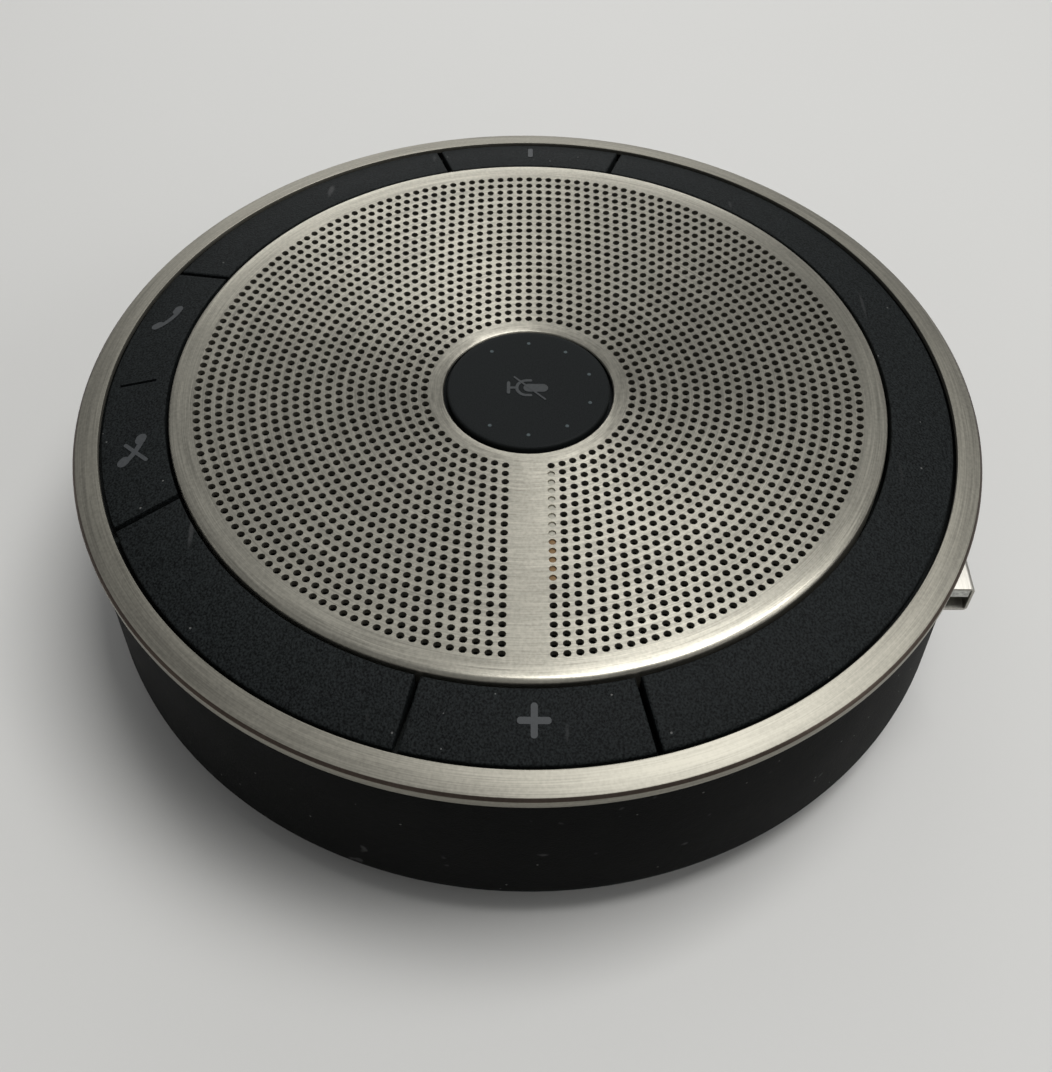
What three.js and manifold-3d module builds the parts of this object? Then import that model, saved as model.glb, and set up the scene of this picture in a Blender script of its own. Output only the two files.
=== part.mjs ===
// Conference speakerphone: a round desk unit with a dished steel grille, a ring of keys,
// a central mute button, and a USB lead wound in a channel around its base.
// Millimetres, +Z up. The origin is on the table, at the middle of the round body.
// The user sits on the -Y side: call key in front, volume down at -X, volume up at +X.

import * as THREE from "three";
import { mergeVertices } from "three/addons/utils/BufferGeometryUtils.js";
import Module from "manifold-3d";

const wasm = await Module();
wasm.setup();

// ---- Driving dimensions: overall ----
const BODY_RADIUS = 60;
const BODY_HEIGHT = 33;

// ---- Driving dimensions: top face, from the edge inwards ----
const TRIM_INSET = 0.05; // the trim ring is this much smaller than the side shell's foot
const TRIM_WIDTH = 3.4;
const TRIM_THICKNESS = 0.8;
const TRIM_INNER_DROP = 2.5; // drops are measured down from the top of the grille
const TRIM_CREST_DROP = 3.25;
const TRIM_SIDE_DROP = 3.6;
const TRIM_LIP_DROP = 4.8;
const OUTER_KEY_GAP = 0.5;
const KEY_WIDTH = 8.45;
const KEY_INNER_DROP = 0.45;
const KEY_OUTER_DROP = 2.7;
const KEY_UNDERSIDE_DROP = 3.9;
const KEY_EDGE_BEVEL = 0.3;
const KEY_SEAM = 0.7;
const INNER_KEY_GAP = 0.45;
const GRILLE_THICKNESS = 0.8;
const GRILLE_DISH_RISE = 2.15;
const GRILLE_FLAT_WIDTH = 2.6; // level band at the grille's edge
const GRILLE_ROLL_RADIUS = 0.75;
const GRILLE_SKIRT_DROP = 3.8;
const DISH_POWER = 1.8;
const MUTE_RADIUS = 10.9;
const MUTE_GAP = 0.5;
const MUTE_PROUD = 0.35; // above the grille's inner edge
const MUTE_EDGE = 0.2;
const MUTE_FLANGE_WIDTH = 1.4;
const MUTE_FLANGE_THICKNESS = 0.7;
const MUTE_STROKE_ROOM = 0.6;
const MUTE_SWITCH_HEIGHT = 0.6;
const MUTE_BOARD_INSET = 0.4;
const MESH_THICKNESS = 0.4;
const MESH_HOLE_MARGIN = 1.5; // dust mesh, outside the button's hole

// ---- Driving dimensions: keys ----
const VOLUME_SPAN = 29.8; // degrees
const CALL_SPAN = 50.6;
const VOLUME_UP_ANGLE = 0;
const VOLUME_DOWN_ANGLE = 180;
const CALL_ANGLE = 270;
const CALL_SWITCH_OFFSET = 13;
const CALL_GROOVE_WIDTH = 0.5;
const CALL_GROOVE_DEPTH = 0.35;
const CALL_GROOVE_LENGTH = 5.15;
const CALL_GROOVE_INSET = 1.3; // from the key's outer edge
const POST_RADIUS = 1.2;
const POST_HOLE_CLEARANCE = 0.5;
const KEY_STROKE_ROOM = 0.65;
const FOOTING_INSET = 1.5; // a fixed pad's footing, inside its edges

// ---- Driving dimensions: casing ----
const DECK_THICKNESS = 1.1;
const DECK_GAP = 0.8; // under the keys
const WALL = 1.3;
const GAP = 0.3; // between pieces that rest on each other
const SHELL_TOP_INSET = 0.8; // the side shell leans in by this much towards its top
const SHELL_INNER_INSET = 2;
const SHELL_LEDGE = 1; // the deck sits this far inside the side shell's top edge
const SHELL_CLEARANCE = 4.4; // above the table
const SHELL_EDGE_RADIUS = 2.5;
const SHELL_LIP_INSET = 4;
const SHELL_LIP_HEIGHT = 1.2;
const CHANNEL_WIDTH = 8;
const CHANNEL_ROOF_THICKNESS = 1.2;
const POCKET_OVERLAP = 3.2; // degrees of roof under the plug's tip
const POCKET_LAG = 5; // degrees of open channel past the start of the winding
const BAFFLE_DROP = 10.6;
const BAFFLE_THICKNESS = 1.6;
const COVER_UNDERSIDE = 2.2;
const COVER_THICKNESS = 1.6;
const FOOT_INSET = 0.8; // inside the flat side of the cover
const FOOT_WIDTH = 7.5;
const BOSS_RADIUS = 3;
const BOSS_CLEARANCE = 0.5; // from the tub's inner wall
const BOSS_ANGLES = [45, 135, 225, 315];
const SCREW_HEAD_RADIUS = 2.1;
const SCREW_HEAD_HEIGHT = 1.1;
const SCREW_SHANK_RADIUS = 1;
const SCREW_LENGTH = 8;
const SCREW_HOLE_RADIUS = 1.3;
const CARRIER_THICKNESS = 1;
const CARRIER_MARGIN = 1.5; // around the mute board
const CARRIER_ARM_WIDTH = 3;
const CARRIER_OVERREACH = 6; // past the driver's flange
const CARRIER_ARMS = [0, 135, 225];
const INDICATOR_START_X = 14.3;
const INDICATOR_END_X = 33.1;
const INDICATOR_Y = 2.95;
const INDICATOR_WIDTH = 1.5;
const INDICATOR_BASE_THICKNESS = 1;

// ---- Driving dimensions: USB lead ----
const PLUG_WIDTH = 12;
const PLUG_HEIGHT = 4.5;
const PLUG_METAL_LENGTH = 12;
const PLUG_WALL = 0.35;
const PLUG_CORNER = 0.6;
const PLUG_TIP_X = 28.45;
const OVERMOULD_SIDE_INSET = 3.3; // the grip's outer side, in from the body's radius
const PLUG_TOP_DROP = 7.55;
const TONGUE_HEIGHT = 1.45;
const TONGUE_SETBACK = 0.2;
const OVERMOULD_WIDTH = 14.4;
const OVERMOULD_HEIGHT = 6.6;
const OVERMOULD_LENGTH = 25;
const OVERMOULD_CORNER = 1.6;
const RELIEF_LENGTH = 7;
const RELIEF_ROOT_RADIUS = 3;
const RELIEF_TIP_RADIUS = 2.2;
const CABLE_RADIUS = 1.8;
const CABLE_SIDES = 8;
const CABLE_STEPS_PER_TURN = 32;
const CABLE_LEAD_STEPS = 8;
const CABLE_SPACING = 3.7; // between turns that lie on each other
const WINDING_START = 150; // degrees, where the lead has come down under the channel's roof
const WINDOW_START_X = 7.5;
const WINDOW_MARGIN_X = 2.5; // past the plug's tip
const WINDOW_MARGIN_Z = 0.5; // below the grip
const GLAND_RADIUS = 3;
const GLAND_BORE_CLEARANCE = 0.6;
const GLAND_LENGTH = 6;
const GLAND_PLACE = 0.35; // along the lead's straight stretch through the wall

// ---- Driving dimensions: loudspeaker and boards ----
const DRIVER_MARGIN = 9.1; // from the flange to the flat wall beside the plug
const DRIVER_FLANGE = 1;
const FLANGE_WIDTH = 5;
const CONE_SHARE = 19 / 30; // of the driver's radius
const MAGNET_SHARE = 17 / 30;
const COIL_SHARE = 7 / 30;
const SURROUND_WIDTH = 5;
const PLATE_THICKNESS = 1.8;
const MOTOR_FLOOR = 5; // underside of the yoke above the table
const BOARD_THICKNESS = 1.6;
const BOARD_UNDERSIDE = 7;
const BOARD_MARGIN = 3.7; // from the housing's bosses
const BOARD_POST_INSET = 8.5;
const BOARD_POST_ANGLES = [90, 210, 330];
const BOARD_POST_RADIUS = 2.2;
const BOARD_SCREW_DEPTH = 2;
const KEY_BOARD_THICKNESS = 0.8;
const SWITCH_SIZE = 4;
const SWITCH_HEIGHT = 0.8;
const MIC_INSET = 7.25; // from the bowl's wall
const MIC_ANGLES = [240, 300];
const MIC_SIZE = 3.6;
const MIC_HEIGHT = 1.1;
const BOOT_RADIUS = 3.4;
const BOOT_HOLE = 0.9;

// ---- Levels and radii that follow from them ----
const TRIM_OUTER = BODY_RADIUS - TRIM_INSET;
const TRIM_INNER = TRIM_OUTER - TRIM_WIDTH;
const KEY_OUTER = TRIM_INNER - OUTER_KEY_GAP;
const KEY_INNER = KEY_OUTER - KEY_WIDTH;
const GRILLE_OUTER = KEY_INNER - INNER_KEY_GAP;
const GRILLE_HOLE = MUTE_RADIUS + MUTE_GAP;
const SHELL_TOP_OUTER = BODY_RADIUS - SHELL_TOP_INSET;
const SHELL_INNER = BODY_RADIUS - SHELL_INNER_INSET;
const TUB_OUTER = SHELL_INNER - CHANNEL_WIDTH;
const TUB_INNER = TUB_OUTER - WALL;
const CABLE_CIRCLE = (TUB_OUTER + SHELL_INNER) / 2;
const KEY_UNDERSIDE = BODY_HEIGHT - KEY_UNDERSIDE_DROP;
const DECK_TOP = KEY_UNDERSIDE - DECK_GAP;
const DECK_UNDERSIDE = DECK_TOP - DECK_THICKNESS;
const BAFFLE_TOP = BODY_HEIGHT - BAFFLE_DROP;
const BAFFLE_UNDERSIDE = BAFFLE_TOP - BAFFLE_THICKNESS;
const COVER_TOP = COVER_UNDERSIDE + COVER_THICKNESS;
const BOARD_TOP = BOARD_UNDERSIDE + BOARD_THICKNESS;
const BOWL_OUTER = GRILLE_OUTER - GRILLE_THICKNESS - GAP;
const BOWL_INNER = BOWL_OUTER - WALL;
const BOSS_CIRCLE = TUB_INNER - BOSS_RADIUS - BOSS_CLEARANCE;
const PLUG_Y = BODY_RADIUS - OVERMOULD_SIDE_INSET - OVERMOULD_WIDTH / 2;
const PLUG_Z = BODY_HEIGHT - PLUG_TOP_DROP - PLUG_HEIGHT / 2;
const OVERMOULD_FRONT_X = PLUG_TIP_X - PLUG_METAL_LENGTH - GAP;
const OVERMOULD_BACK_X = OVERMOULD_FRONT_X - OVERMOULD_LENGTH;
const RELIEF_END_X = OVERMOULD_BACK_X - RELIEF_LENGTH;
const POCKET_Y = PLUG_Y - OVERMOULD_WIDTH / 2 - GAP; // flat inner side of the plug's pocket
const CHANNEL_ROOF = PLUG_Z - OVERMOULD_HEIGHT / 2 - GAP;
const PLUG_TIP_ANGLE = THREE.MathUtils.radToDeg(Math.atan2(PLUG_Y - PLUG_WIDTH / 2, PLUG_TIP_X));
const POCKET_START = PLUG_TIP_ANGLE + POCKET_OVERLAP; // the plug's end of its pocket
const CUP_LIMIT = POCKET_Y - WALL - GAP;
const DRIVER_RADIUS = CUP_LIMIT - WALL - DRIVER_MARGIN;
const BAFFLE_HOLE_RADIUS = DRIVER_RADIUS - FLANGE_WIDTH;
const CONE_RADIUS = DRIVER_RADIUS * CONE_SHARE;
const MAGNET_RADIUS = DRIVER_RADIUS * MAGNET_SHARE;
const COIL_RADIUS = DRIVER_RADIUS * COIL_SHARE;
const BOARD_OUTER_RADIUS = BOSS_CIRCLE - BOSS_RADIUS - BOARD_MARGIN;
const BOARD_POST_CIRCLE = BOARD_OUTER_RADIUS - BOARD_POST_INSET;
const MIC_CIRCLE = BOWL_INNER - MIC_INSET;
const DECK_OUTER = SHELL_TOP_OUTER - SHELL_LEDGE;
const KEY_BOARD_TOP = DECK_UNDERSIDE - SWITCH_HEIGHT - KEY_STROKE_ROOM;
const KEY_BOARD_INNER = TUB_OUTER + GAP;
const KEY_BOARD_OUTER = SHELL_INNER - GAP;
const KEY_BOARD_MIDDLE = (KEY_BOARD_INNER + KEY_BOARD_OUTER) / 2;

// Height of the grille's face, which sinks towards the middle inside its level band.
function dishHeight(radius) {
  const flat = GRILLE_OUTER - GRILLE_FLAT_WIDTH;
  const share = radius < flat ? (radius / flat) ** DISH_POWER : 1;
  return BODY_HEIGHT - GRILLE_DISH_RISE * (1 - share);
}

const MESH_OUTER = BOWL_INNER - GAP;
const MUTE_TOP = dishHeight(GRILLE_HOLE) + MUTE_PROUD;
const MUTE_FLANGE_TOP = dishHeight(GRILLE_HOLE) - GRILLE_THICKNESS - GAP;
const MUTE_FLANGE_RADIUS = MUTE_RADIUS + MUTE_FLANGE_WIDTH;
const MUTE_BOARD_TOP = MUTE_FLANGE_TOP - MUTE_FLANGE_THICKNESS - MUTE_STROKE_ROOM - MUTE_SWITCH_HEIGHT;
const MUTE_BOARD_RADIUS = MUTE_RADIUS - MUTE_BOARD_INSET;
const CARRIER_TOP = MUTE_BOARD_TOP - KEY_BOARD_THICKNESS - GAP;
const CARRIER_RADIUS = MUTE_BOARD_RADIUS + CARRIER_MARGIN;
const CARRIER_REACH = DRIVER_RADIUS + CARRIER_OVERREACH;

// ---- Round steps ----
const FINE = 48;
const MEDIUM = 24;
const SMALL = 12;

const FAR = 4 * BODY_RADIUS; // beyond the object, for cutting shapes

// ---- Materials ----
function finish(color, roughness, metalness) {
  return { color, roughness, metalness };
}
const BRUSHED_STEEL = finish(0xa9a69c, 0.38, 1);
const BRIGHT_STEEL = finish(0xb9b8b2, 0.25, 1);
const KEY_PLASTIC = finish(0x23272a, 0.55, 0);
const SOFT_BLACK = finish(0x1a1d1f, 0.6, 0);
const CASE_PLASTIC = finish(0x17191a, 0.65, 0);
const RUBBER = finish(0x101112, 0.85, 0);
const BOARD_GREEN = finish(0x1f4a2c, 0.5, 0);
const CHIP_BLACK = finish(0x161616, 0.45, 0);
const LIGHT_PLASTIC = finish(0xdcdcd6, 0.4, 0);
const FERRITE = finish(0x3a3a3c, 0.6, 0);
const PAPER_CONE = finish(0x2a2a2b, 0.8, 0);
const COPPER = finish(0xb06a3a, 0.35, 1);
const AMBER_CLOTH = finish(0xb48a3c, 0.8, 0);

// ---- Solids ----
function signedVolume(position, triangles) {
  const a = new THREE.Vector3();
  const b = new THREE.Vector3();
  const c = new THREE.Vector3();
  let total = 0;
  for (let i = 0; i < triangles.length; i += 3) {
    a.fromArray(position, 3 * triangles[i]);
    b.fromArray(position, 3 * triangles[i + 1]);
    c.fromArray(position, 3 * triangles[i + 2]);
    total += a.dot(b.cross(c)) / 6;
  }
  return total;
}

// A closed three.js geometry as a solid, with its faces turned outwards.
function solid(geometry) {
  geometry.deleteAttribute("normal");
  geometry.deleteAttribute("uv");
  const merged = mergeVertices(geometry, 1e-4);
  const position = merged.attributes.position.array;
  const index = merged.index.array;
  const triangles = [];
  for (let i = 0; i < index.length; i += 3) {
    const [a, b, c] = [index[i], index[i + 1], index[i + 2]];
    if (a !== b && b !== c && c !== a) {
      triangles.push(a, b, c);
    }
  }
  if (signedVolume(position, triangles) < 0) {
    triangles.reverse();
  }
  return new wasm.Manifold(
    new wasm.Mesh({ numProp: 3, vertProperties: position, triVerts: Uint32Array.from(triangles) }),
  );
}

// A solid turned about Z from [radius, height] points.
function revolve(outline, steps) {
  const points = outline.map(([radius, height]) => new THREE.Vector2(radius, height));
  const onAxis = outline[0][0] === 0;
  if (!onAxis) {
    points.push(points[0]);
  }
  return solid(new THREE.LatheGeometry(points, steps).rotateX(Math.PI / 2));
}

function tubeRing(inner, outer, low, high, steps) {
  return revolve([[inner, low], [outer, low], [outer, high], [inner, high]], steps);
}

function disc(radius, low, high, steps, x = 0, y = 0) {
  const geometry = new THREE.CylinderGeometry(radius, radius, high - low, steps).rotateX(Math.PI / 2);
  return solid(geometry.translate(x, y, (low + high) / 2));
}

function block(x0, x1, y0, y1, z0, z1) {
  const geometry = new THREE.BoxGeometry(x1 - x0, y1 - y0, z1 - z0);
  return solid(geometry.translate((x0 + x1) / 2, (y0 + y1) / 2, (z0 + z1) / 2));
}

function prism(points, low, high) {
  const shape = new THREE.Shape(points.map(([x, y]) => new THREE.Vector2(x, y)));
  const geometry = new THREE.ExtrudeGeometry(shape, { depth: high - low, bevelEnabled: false });
  return solid(geometry.translate(0, 0, low));
}

function polar(radius, degrees) {
  const angle = THREE.MathUtils.degToRad(degrees);
  return [radius * Math.cos(angle), radius * Math.sin(angle)];
}

// A solid copy turned about Z.
function turned(geometry, degrees) {
  return solid(geometry.rotateZ(THREE.MathUtils.degToRad(degrees)));
}

// The space between two rays from the middle, drawn in by half a seam on each side.
function wedge(start, end, seam, low, high) {
  const side = (degrees, shift) => (radius) => {
    const [x, y] = polar(radius, degrees);
    const [nx, ny] = polar(shift, degrees + 90);
    return [x + nx, y + ny];
  };
  const first = side(start, seam / 2);
  const last = side(end, -seam / 2);
  const inside = KEY_INNER / 4;
  const middle = polar(FAR, (start + end) / 2);
  return prism([first(inside), first(FAR), middle, last(FAR), last(inside)], low, high);
}

// A disc or ring outline cut off flat beside the plug's pocket.
function besidePocket(manifold, limitY) {
  return manifold.intersect(block(-FAR, FAR, -FAR, limitY, -FAR, FAR));
}

const speakerphone = new THREE.Group();

function add(name, manifold, look) {
  const { vertProperties, triVerts } = manifold.getMesh();
  const geometry = new THREE.BufferGeometry();
  geometry.setAttribute("position", new THREE.BufferAttribute(vertProperties, 3));
  geometry.setIndex(new THREE.BufferAttribute(triVerts, 1));
  geometry.computeVertexNormals();
  const mesh = new THREE.Mesh(geometry, new THREE.MeshStandardMaterial(look));
  mesh.name = name;
  speakerphone.add(mesh);
}

// ---- Top face ----
function trimRing() {
  const inner = BODY_HEIGHT - TRIM_INNER_DROP;
  const crest = BODY_HEIGHT - TRIM_CREST_DROP;
  const side = BODY_HEIGHT - TRIM_SIDE_DROP;
  const lip = BODY_HEIGHT - TRIM_LIP_DROP;
  const edge = TRIM_SIDE_DROP - TRIM_CREST_DROP;
  return revolve([
    [TRIM_INNER, inner - TRIM_THICKNESS],
    [TRIM_OUTER - TRIM_THICKNESS, crest - TRIM_THICKNESS],
    [TRIM_OUTER - TRIM_THICKNESS, lip],
    [TRIM_OUTER, lip],
    [TRIM_OUTER, side],
    [TRIM_OUTER - edge, crest],
    [TRIM_INNER, inner],
  ], FINE);
}

// Radii of the dish profile from the button's hole out to the start of the rolled edge.
function dishRadii(inner, outer, count) {
  return Array.from({ length: count + 1 }, (_, i) => inner + ((outer - inner) * i) / count);
}

function speakerGrille() {
  const rollStart = GRILLE_OUTER - GRILLE_ROLL_RADIUS;
  const foot = BODY_HEIGHT - GRILLE_SKIRT_DROP;
  const under = GRILLE_OUTER - GRILLE_THICKNESS;
  const bottom = dishRadii(GRILLE_HOLE, GRILLE_OUTER - GRILLE_FLAT_WIDTH, 4)
    .map((r) => [r, dishHeight(r) - GRILLE_THICKNESS]);
  const top = dishRadii(GRILLE_HOLE, GRILLE_OUTER - GRILLE_FLAT_WIDTH, 4)
    .map((r) => [r, dishHeight(r)])
    .reverse();
  const corner = GRILLE_ROLL_RADIUS * (1 - Math.SQRT1_2);
  return revolve([
    ...bottom,
    [under, BODY_HEIGHT - GRILLE_THICKNESS],
    [under, foot],
    [GRILLE_OUTER, foot],
    [GRILLE_OUTER, BODY_HEIGHT - GRILLE_ROLL_RADIUS],
    [GRILLE_OUTER - corner, BODY_HEIGHT - corner],
    [rollStart, BODY_HEIGHT],
    ...top,
  ], FINE);
}

// The light guide's rib, with room around it when it is cut out of the dust mesh.
function indicatorRib(room) {
  const half = INDICATOR_WIDTH / 2 + room;
  const low = CARRIER_TOP + GAP;
  const [x0, x1] = [INDICATOR_START_X - room, INDICATOR_END_X + room];
  return block(x0, x1, INDICATOR_Y - half, INDICATOR_Y + half, low, BODY_HEIGHT);
}

function dustMesh() {
  const drop = GRILLE_THICKNESS + GAP;
  const radii = dishRadii(GRILLE_HOLE + MESH_HOLE_MARGIN, MESH_OUTER, 2);
  const top = radii.map((r) => [r, dishHeight(r) - drop]).reverse();
  const bottom = radii.map((r) => [r, dishHeight(r) - drop - MESH_THICKNESS]);
  return revolve([...bottom, ...top], FINE).subtract(indicatorRib(GAP));
}

// A clear guide that stands on an arm of the carrier, under one column of the grille's holes.
function indicatorGuide() {
  const radii = dishRadii(0, MESH_OUTER, 4);
  const top = radii.map((r) => [r, dishHeight(r) - GRILLE_THICKNESS - GAP]).reverse();
  const underGrille = revolve([[0, 0], [MESH_OUTER, 0], ...top], MEDIUM);
  const low = CARRIER_TOP + GAP;
  const half = CARRIER_ARM_WIDTH / 2;
  const side = INDICATOR_Y + INDICATOR_WIDTH / 2;
  const high = low + INDICATOR_BASE_THICKNESS;
  const base = block(INDICATOR_START_X, INDICATOR_END_X, -half, side, low, high);
  return indicatorRib(0).intersect(underGrille).add(base);
}

function keySlope(radius) {
  const share = (radius - KEY_INNER) / KEY_WIDTH;
  return BODY_HEIGHT - KEY_INNER_DROP - share * (KEY_OUTER_DROP - KEY_INNER_DROP);
}

// The whole ring that the keys and the fixed pads are cut from.
function keyRing() {
  return revolve([
    [KEY_INNER, KEY_UNDERSIDE],
    [KEY_OUTER, KEY_UNDERSIDE],
    [KEY_OUTER, keySlope(KEY_OUTER) - KEY_EDGE_BEVEL],
    [KEY_OUTER - KEY_EDGE_BEVEL, keySlope(KEY_OUTER - KEY_EDGE_BEVEL)],
    [KEY_INNER + KEY_EDGE_BEVEL, keySlope(KEY_INNER + KEY_EDGE_BEVEL)],
    [KEY_INNER, keySlope(KEY_INNER) - KEY_EDGE_BEVEL],
  ], FINE);
}

function ringPad(start, end) {
  return keyRing().intersect(wedge(start, end, KEY_SEAM, 0, FAR));
}

// The post under a key that goes through the deck and stops above its switch.
function keyPost(angle) {
  const [x, y] = polar(KEY_BOARD_MIDDLE, angle);
  return disc(POST_RADIUS, DECK_UNDERSIDE, KEY_UNDERSIDE + KEY_EDGE_BEVEL, SMALL, x, y);
}

function volumeKey(angle) {
  return ringPad(angle - VOLUME_SPAN / 2, angle + VOLUME_SPAN / 2).add(keyPost(angle));
}

function callKey() {
  const pad = ringPad(CALL_ANGLE - CALL_SPAN / 2, CALL_ANGLE + CALL_SPAN / 2);
  const middle = KEY_OUTER - CALL_GROOVE_INSET - CALL_GROOVE_LENGTH / 2;
  const fall = Math.atan((KEY_OUTER_DROP - KEY_INNER_DROP) / KEY_WIDTH);
  const geometry = new THREE.BoxGeometry(CALL_GROOVE_LENGTH, CALL_GROOVE_WIDTH, FAR);
  geometry.translate(0, 0, FAR / 2 - CALL_GROOVE_DEPTH).rotateY(fall);
  geometry.translate(middle, 0, keySlope(middle));
  return pad
    .subtract(turned(geometry, CALL_ANGLE))
    .add(keyPost(CALL_ANGLE - CALL_SWITCH_OFFSET))
    .add(keyPost(CALL_ANGLE + CALL_SWITCH_OFFSET));
}

function fixedPad(start, end) {
  const pad = ringPad(start, end);
  const inner = KEY_INNER + FOOTING_INSET;
  const outer = KEY_OUTER - FOOTING_INSET;
  const footing = tubeRing(inner, outer, DECK_TOP + GAP, KEY_UNDERSIDE + GAP, FINE);
  return pad.add(footing.intersect(wedge(start, end, KEY_SEAM + 2 * FOOTING_INSET, 0, FAR)));
}

// ---- Mute button ----
function muteButton() {
  const under = MUTE_FLANGE_TOP - MUTE_FLANGE_THICKNESS;
  return revolve([
    [0, under],
    [MUTE_FLANGE_RADIUS, under],
    [MUTE_FLANGE_RADIUS, MUTE_FLANGE_TOP],
    [MUTE_RADIUS, MUTE_FLANGE_TOP],
    [MUTE_RADIUS, MUTE_TOP - MUTE_EDGE],
    [MUTE_RADIUS - MUTE_EDGE, MUTE_TOP],
    [0, MUTE_TOP],
  ], MEDIUM * 1.5);
}

function muteLightRing() {
  const low = MUTE_BOARD_TOP + 0.1;
  return tubeRing(MUTE_RADIUS * 0.66, MUTE_RADIUS * 0.84, low, low + 0.4, MEDIUM);
}

function muteBoard() {
  return disc(MUTE_BOARD_RADIUS, MUTE_BOARD_TOP - KEY_BOARD_THICKNESS, MUTE_BOARD_TOP, MEDIUM);
}

function muteSwitch() {
  const half = SWITCH_SIZE / 2;
  const low = MUTE_BOARD_TOP + 0.1;
  return block(-half, half, -half, half, low, low + MUTE_SWITCH_HEIGHT - 0.2);
}

// A plate under the mute board, on three legs that stand on the baffle around the driver.
function buttonCarrier() {
  const low = CARRIER_TOP - CARRIER_THICKNESS;
  const half = CARRIER_ARM_WIDTH / 2;
  let carrier = disc(CARRIER_RADIUS, low, CARRIER_TOP, MEDIUM);
  for (const angle of CARRIER_ARMS) {
    const arm = new THREE.BoxGeometry(CARRIER_REACH, CARRIER_ARM_WIDTH, CARRIER_THICKNESS);
    arm.translate(CARRIER_REACH / 2, 0, CARRIER_TOP - CARRIER_THICKNESS / 2);
    const foot = BAFFLE_TOP + GAP;
    const leg = new THREE.BoxGeometry(CARRIER_ARM_WIDTH, CARRIER_ARM_WIDTH, CARRIER_TOP - foot);
    leg.translate(CARRIER_REACH - half, 0, (CARRIER_TOP + foot) / 2);
    carrier = carrier.add(turned(arm, angle)).add(turned(leg, angle));
  }
  return carrier;
}

// ---- Casing ----
const SWITCH_ANGLES = {
  up: VOLUME_UP_ANGLE,
  down: VOLUME_DOWN_ANGLE,
  answer: CALL_ANGLE - CALL_SWITCH_OFFSET,
  end: CALL_ANGLE + CALL_SWITCH_OFFSET,
};

function upperHousing() {
  const rib = BODY_HEIGHT - TRIM_CREST_DROP - TRIM_THICKNESS - GAP;
  const ribInner = TRIM_INNER + GAP;
  const bowlTop = BODY_HEIGHT - GRILLE_THICKNESS - 2 * GAP;
  const top = revolve([
    [0, DECK_UNDERSIDE],
    [DECK_OUTER, DECK_UNDERSIDE],
    [DECK_OUTER, rib],
    [ribInner, rib],
    [ribInner, DECK_TOP],
    [BOWL_OUTER, DECK_TOP],
    [BOWL_OUTER, bowlTop],
    [0, bowlTop],
  ], FINE);
  const cup = besidePocket(disc(BOWL_OUTER, BAFFLE_UNDERSIDE, DECK_TOP, FINE), CUP_LIMIT);
  const hollow = besidePocket(disc(BOWL_INNER, BAFFLE_TOP, BODY_HEIGHT, FINE), CUP_LIMIT - WALL);
  const mouth = disc(BOWL_INNER, DECK_TOP, BODY_HEIGHT, FINE);
  const driverHole = disc(BAFFLE_HOLE_RADIUS, 0, BODY_HEIGHT, MEDIUM);
  let housing = top.add(cup).subtract(hollow).subtract(mouth).subtract(driverHole);
  for (const angle of Object.values(SWITCH_ANGLES)) {
    const [x, y] = polar(KEY_BOARD_MIDDLE, angle);
    const radius = POST_RADIUS + POST_HOLE_CLEARANCE;
    housing = housing.subtract(disc(radius, DECK_UNDERSIDE - 1, DECK_TOP + 1, SMALL, x, y));
  }
  for (const angle of BOSS_ANGLES) {
    const [x, y] = polar(BOSS_CIRCLE, angle);
    const foot = COVER_TOP + GAP;
    const holeTop = foot + SCREW_LENGTH + 1;
    housing = housing
      .add(disc(BOSS_RADIUS, foot, DECK_TOP - 0.1, SMALL, x, y))
      .subtract(disc(SCREW_HOLE_RADIUS, foot - 1, holeTop, SMALL, x, y));
  }
  return housing;
}

// The outer wall, with a straight-sided window where the plug's end stands out.
function sideShell() {
  const top = BODY_HEIGHT - TRIM_LIP_DROP - GAP;
  const shoulder = DECK_UNDERSIDE - GAP;
  const low = SHELL_CLEARANCE;
  const corner = SHELL_EDGE_RADIUS * (1 - Math.SQRT1_2);
  const lip = BODY_RADIUS - SHELL_LIP_INSET;
  const shell = revolve([
    [lip, low],
    [BODY_RADIUS - SHELL_EDGE_RADIUS, low],
    [BODY_RADIUS - corner, low + corner],
    [BODY_RADIUS, low + SHELL_EDGE_RADIUS],
    [SHELL_TOP_OUTER, top],
    [DECK_OUTER + GAP, top],
    [DECK_OUTER + GAP, shoulder],
    [SHELL_INNER, shoulder],
    [SHELL_INNER, low + SHELL_LIP_HEIGHT],
    [lip, low + SHELL_LIP_HEIGHT],
  ], FINE);
  const windowEnd = PLUG_TIP_X + WINDOW_MARGIN_X;
  const windowLow = PLUG_Z - OVERMOULD_HEIGHT / 2 - WINDOW_MARGIN_Z;
  return shell.subtract(block(WINDOW_START_X, windowEnd, 0, FAR, windowLow, FAR));
}

// The round tub inside the channel, flat beside the plug, with a roof over the winding.
function baseTub() {
  const low = COVER_TOP + GAP;
  const high = DECK_UNDERSIDE - GAP;
  const outside = besidePocket(disc(TUB_OUTER, low, high, FINE), POCKET_Y);
  const inside = besidePocket(disc(TUB_INNER, low - 1, high + 1, FINE), POCKET_Y - WALL);
  const roofTop = CHANNEL_ROOF + CHANNEL_ROOF_THICKNESS;
  const roof = tubeRing(TUB_OUTER - WALL / 2, SHELL_INNER - GAP, CHANNEL_ROOF, roofTop, FINE);
  const pocket = wedge(POCKET_START, WINDING_START + POCKET_LAG, 0, -FAR, FAR);
  return outside
    .subtract(inside)
    .add(roof.subtract(pocket))
    .subtract(glandSleeve(GLAND_RADIUS + GAP, 3 * GLAND_LENGTH));
}

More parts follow.
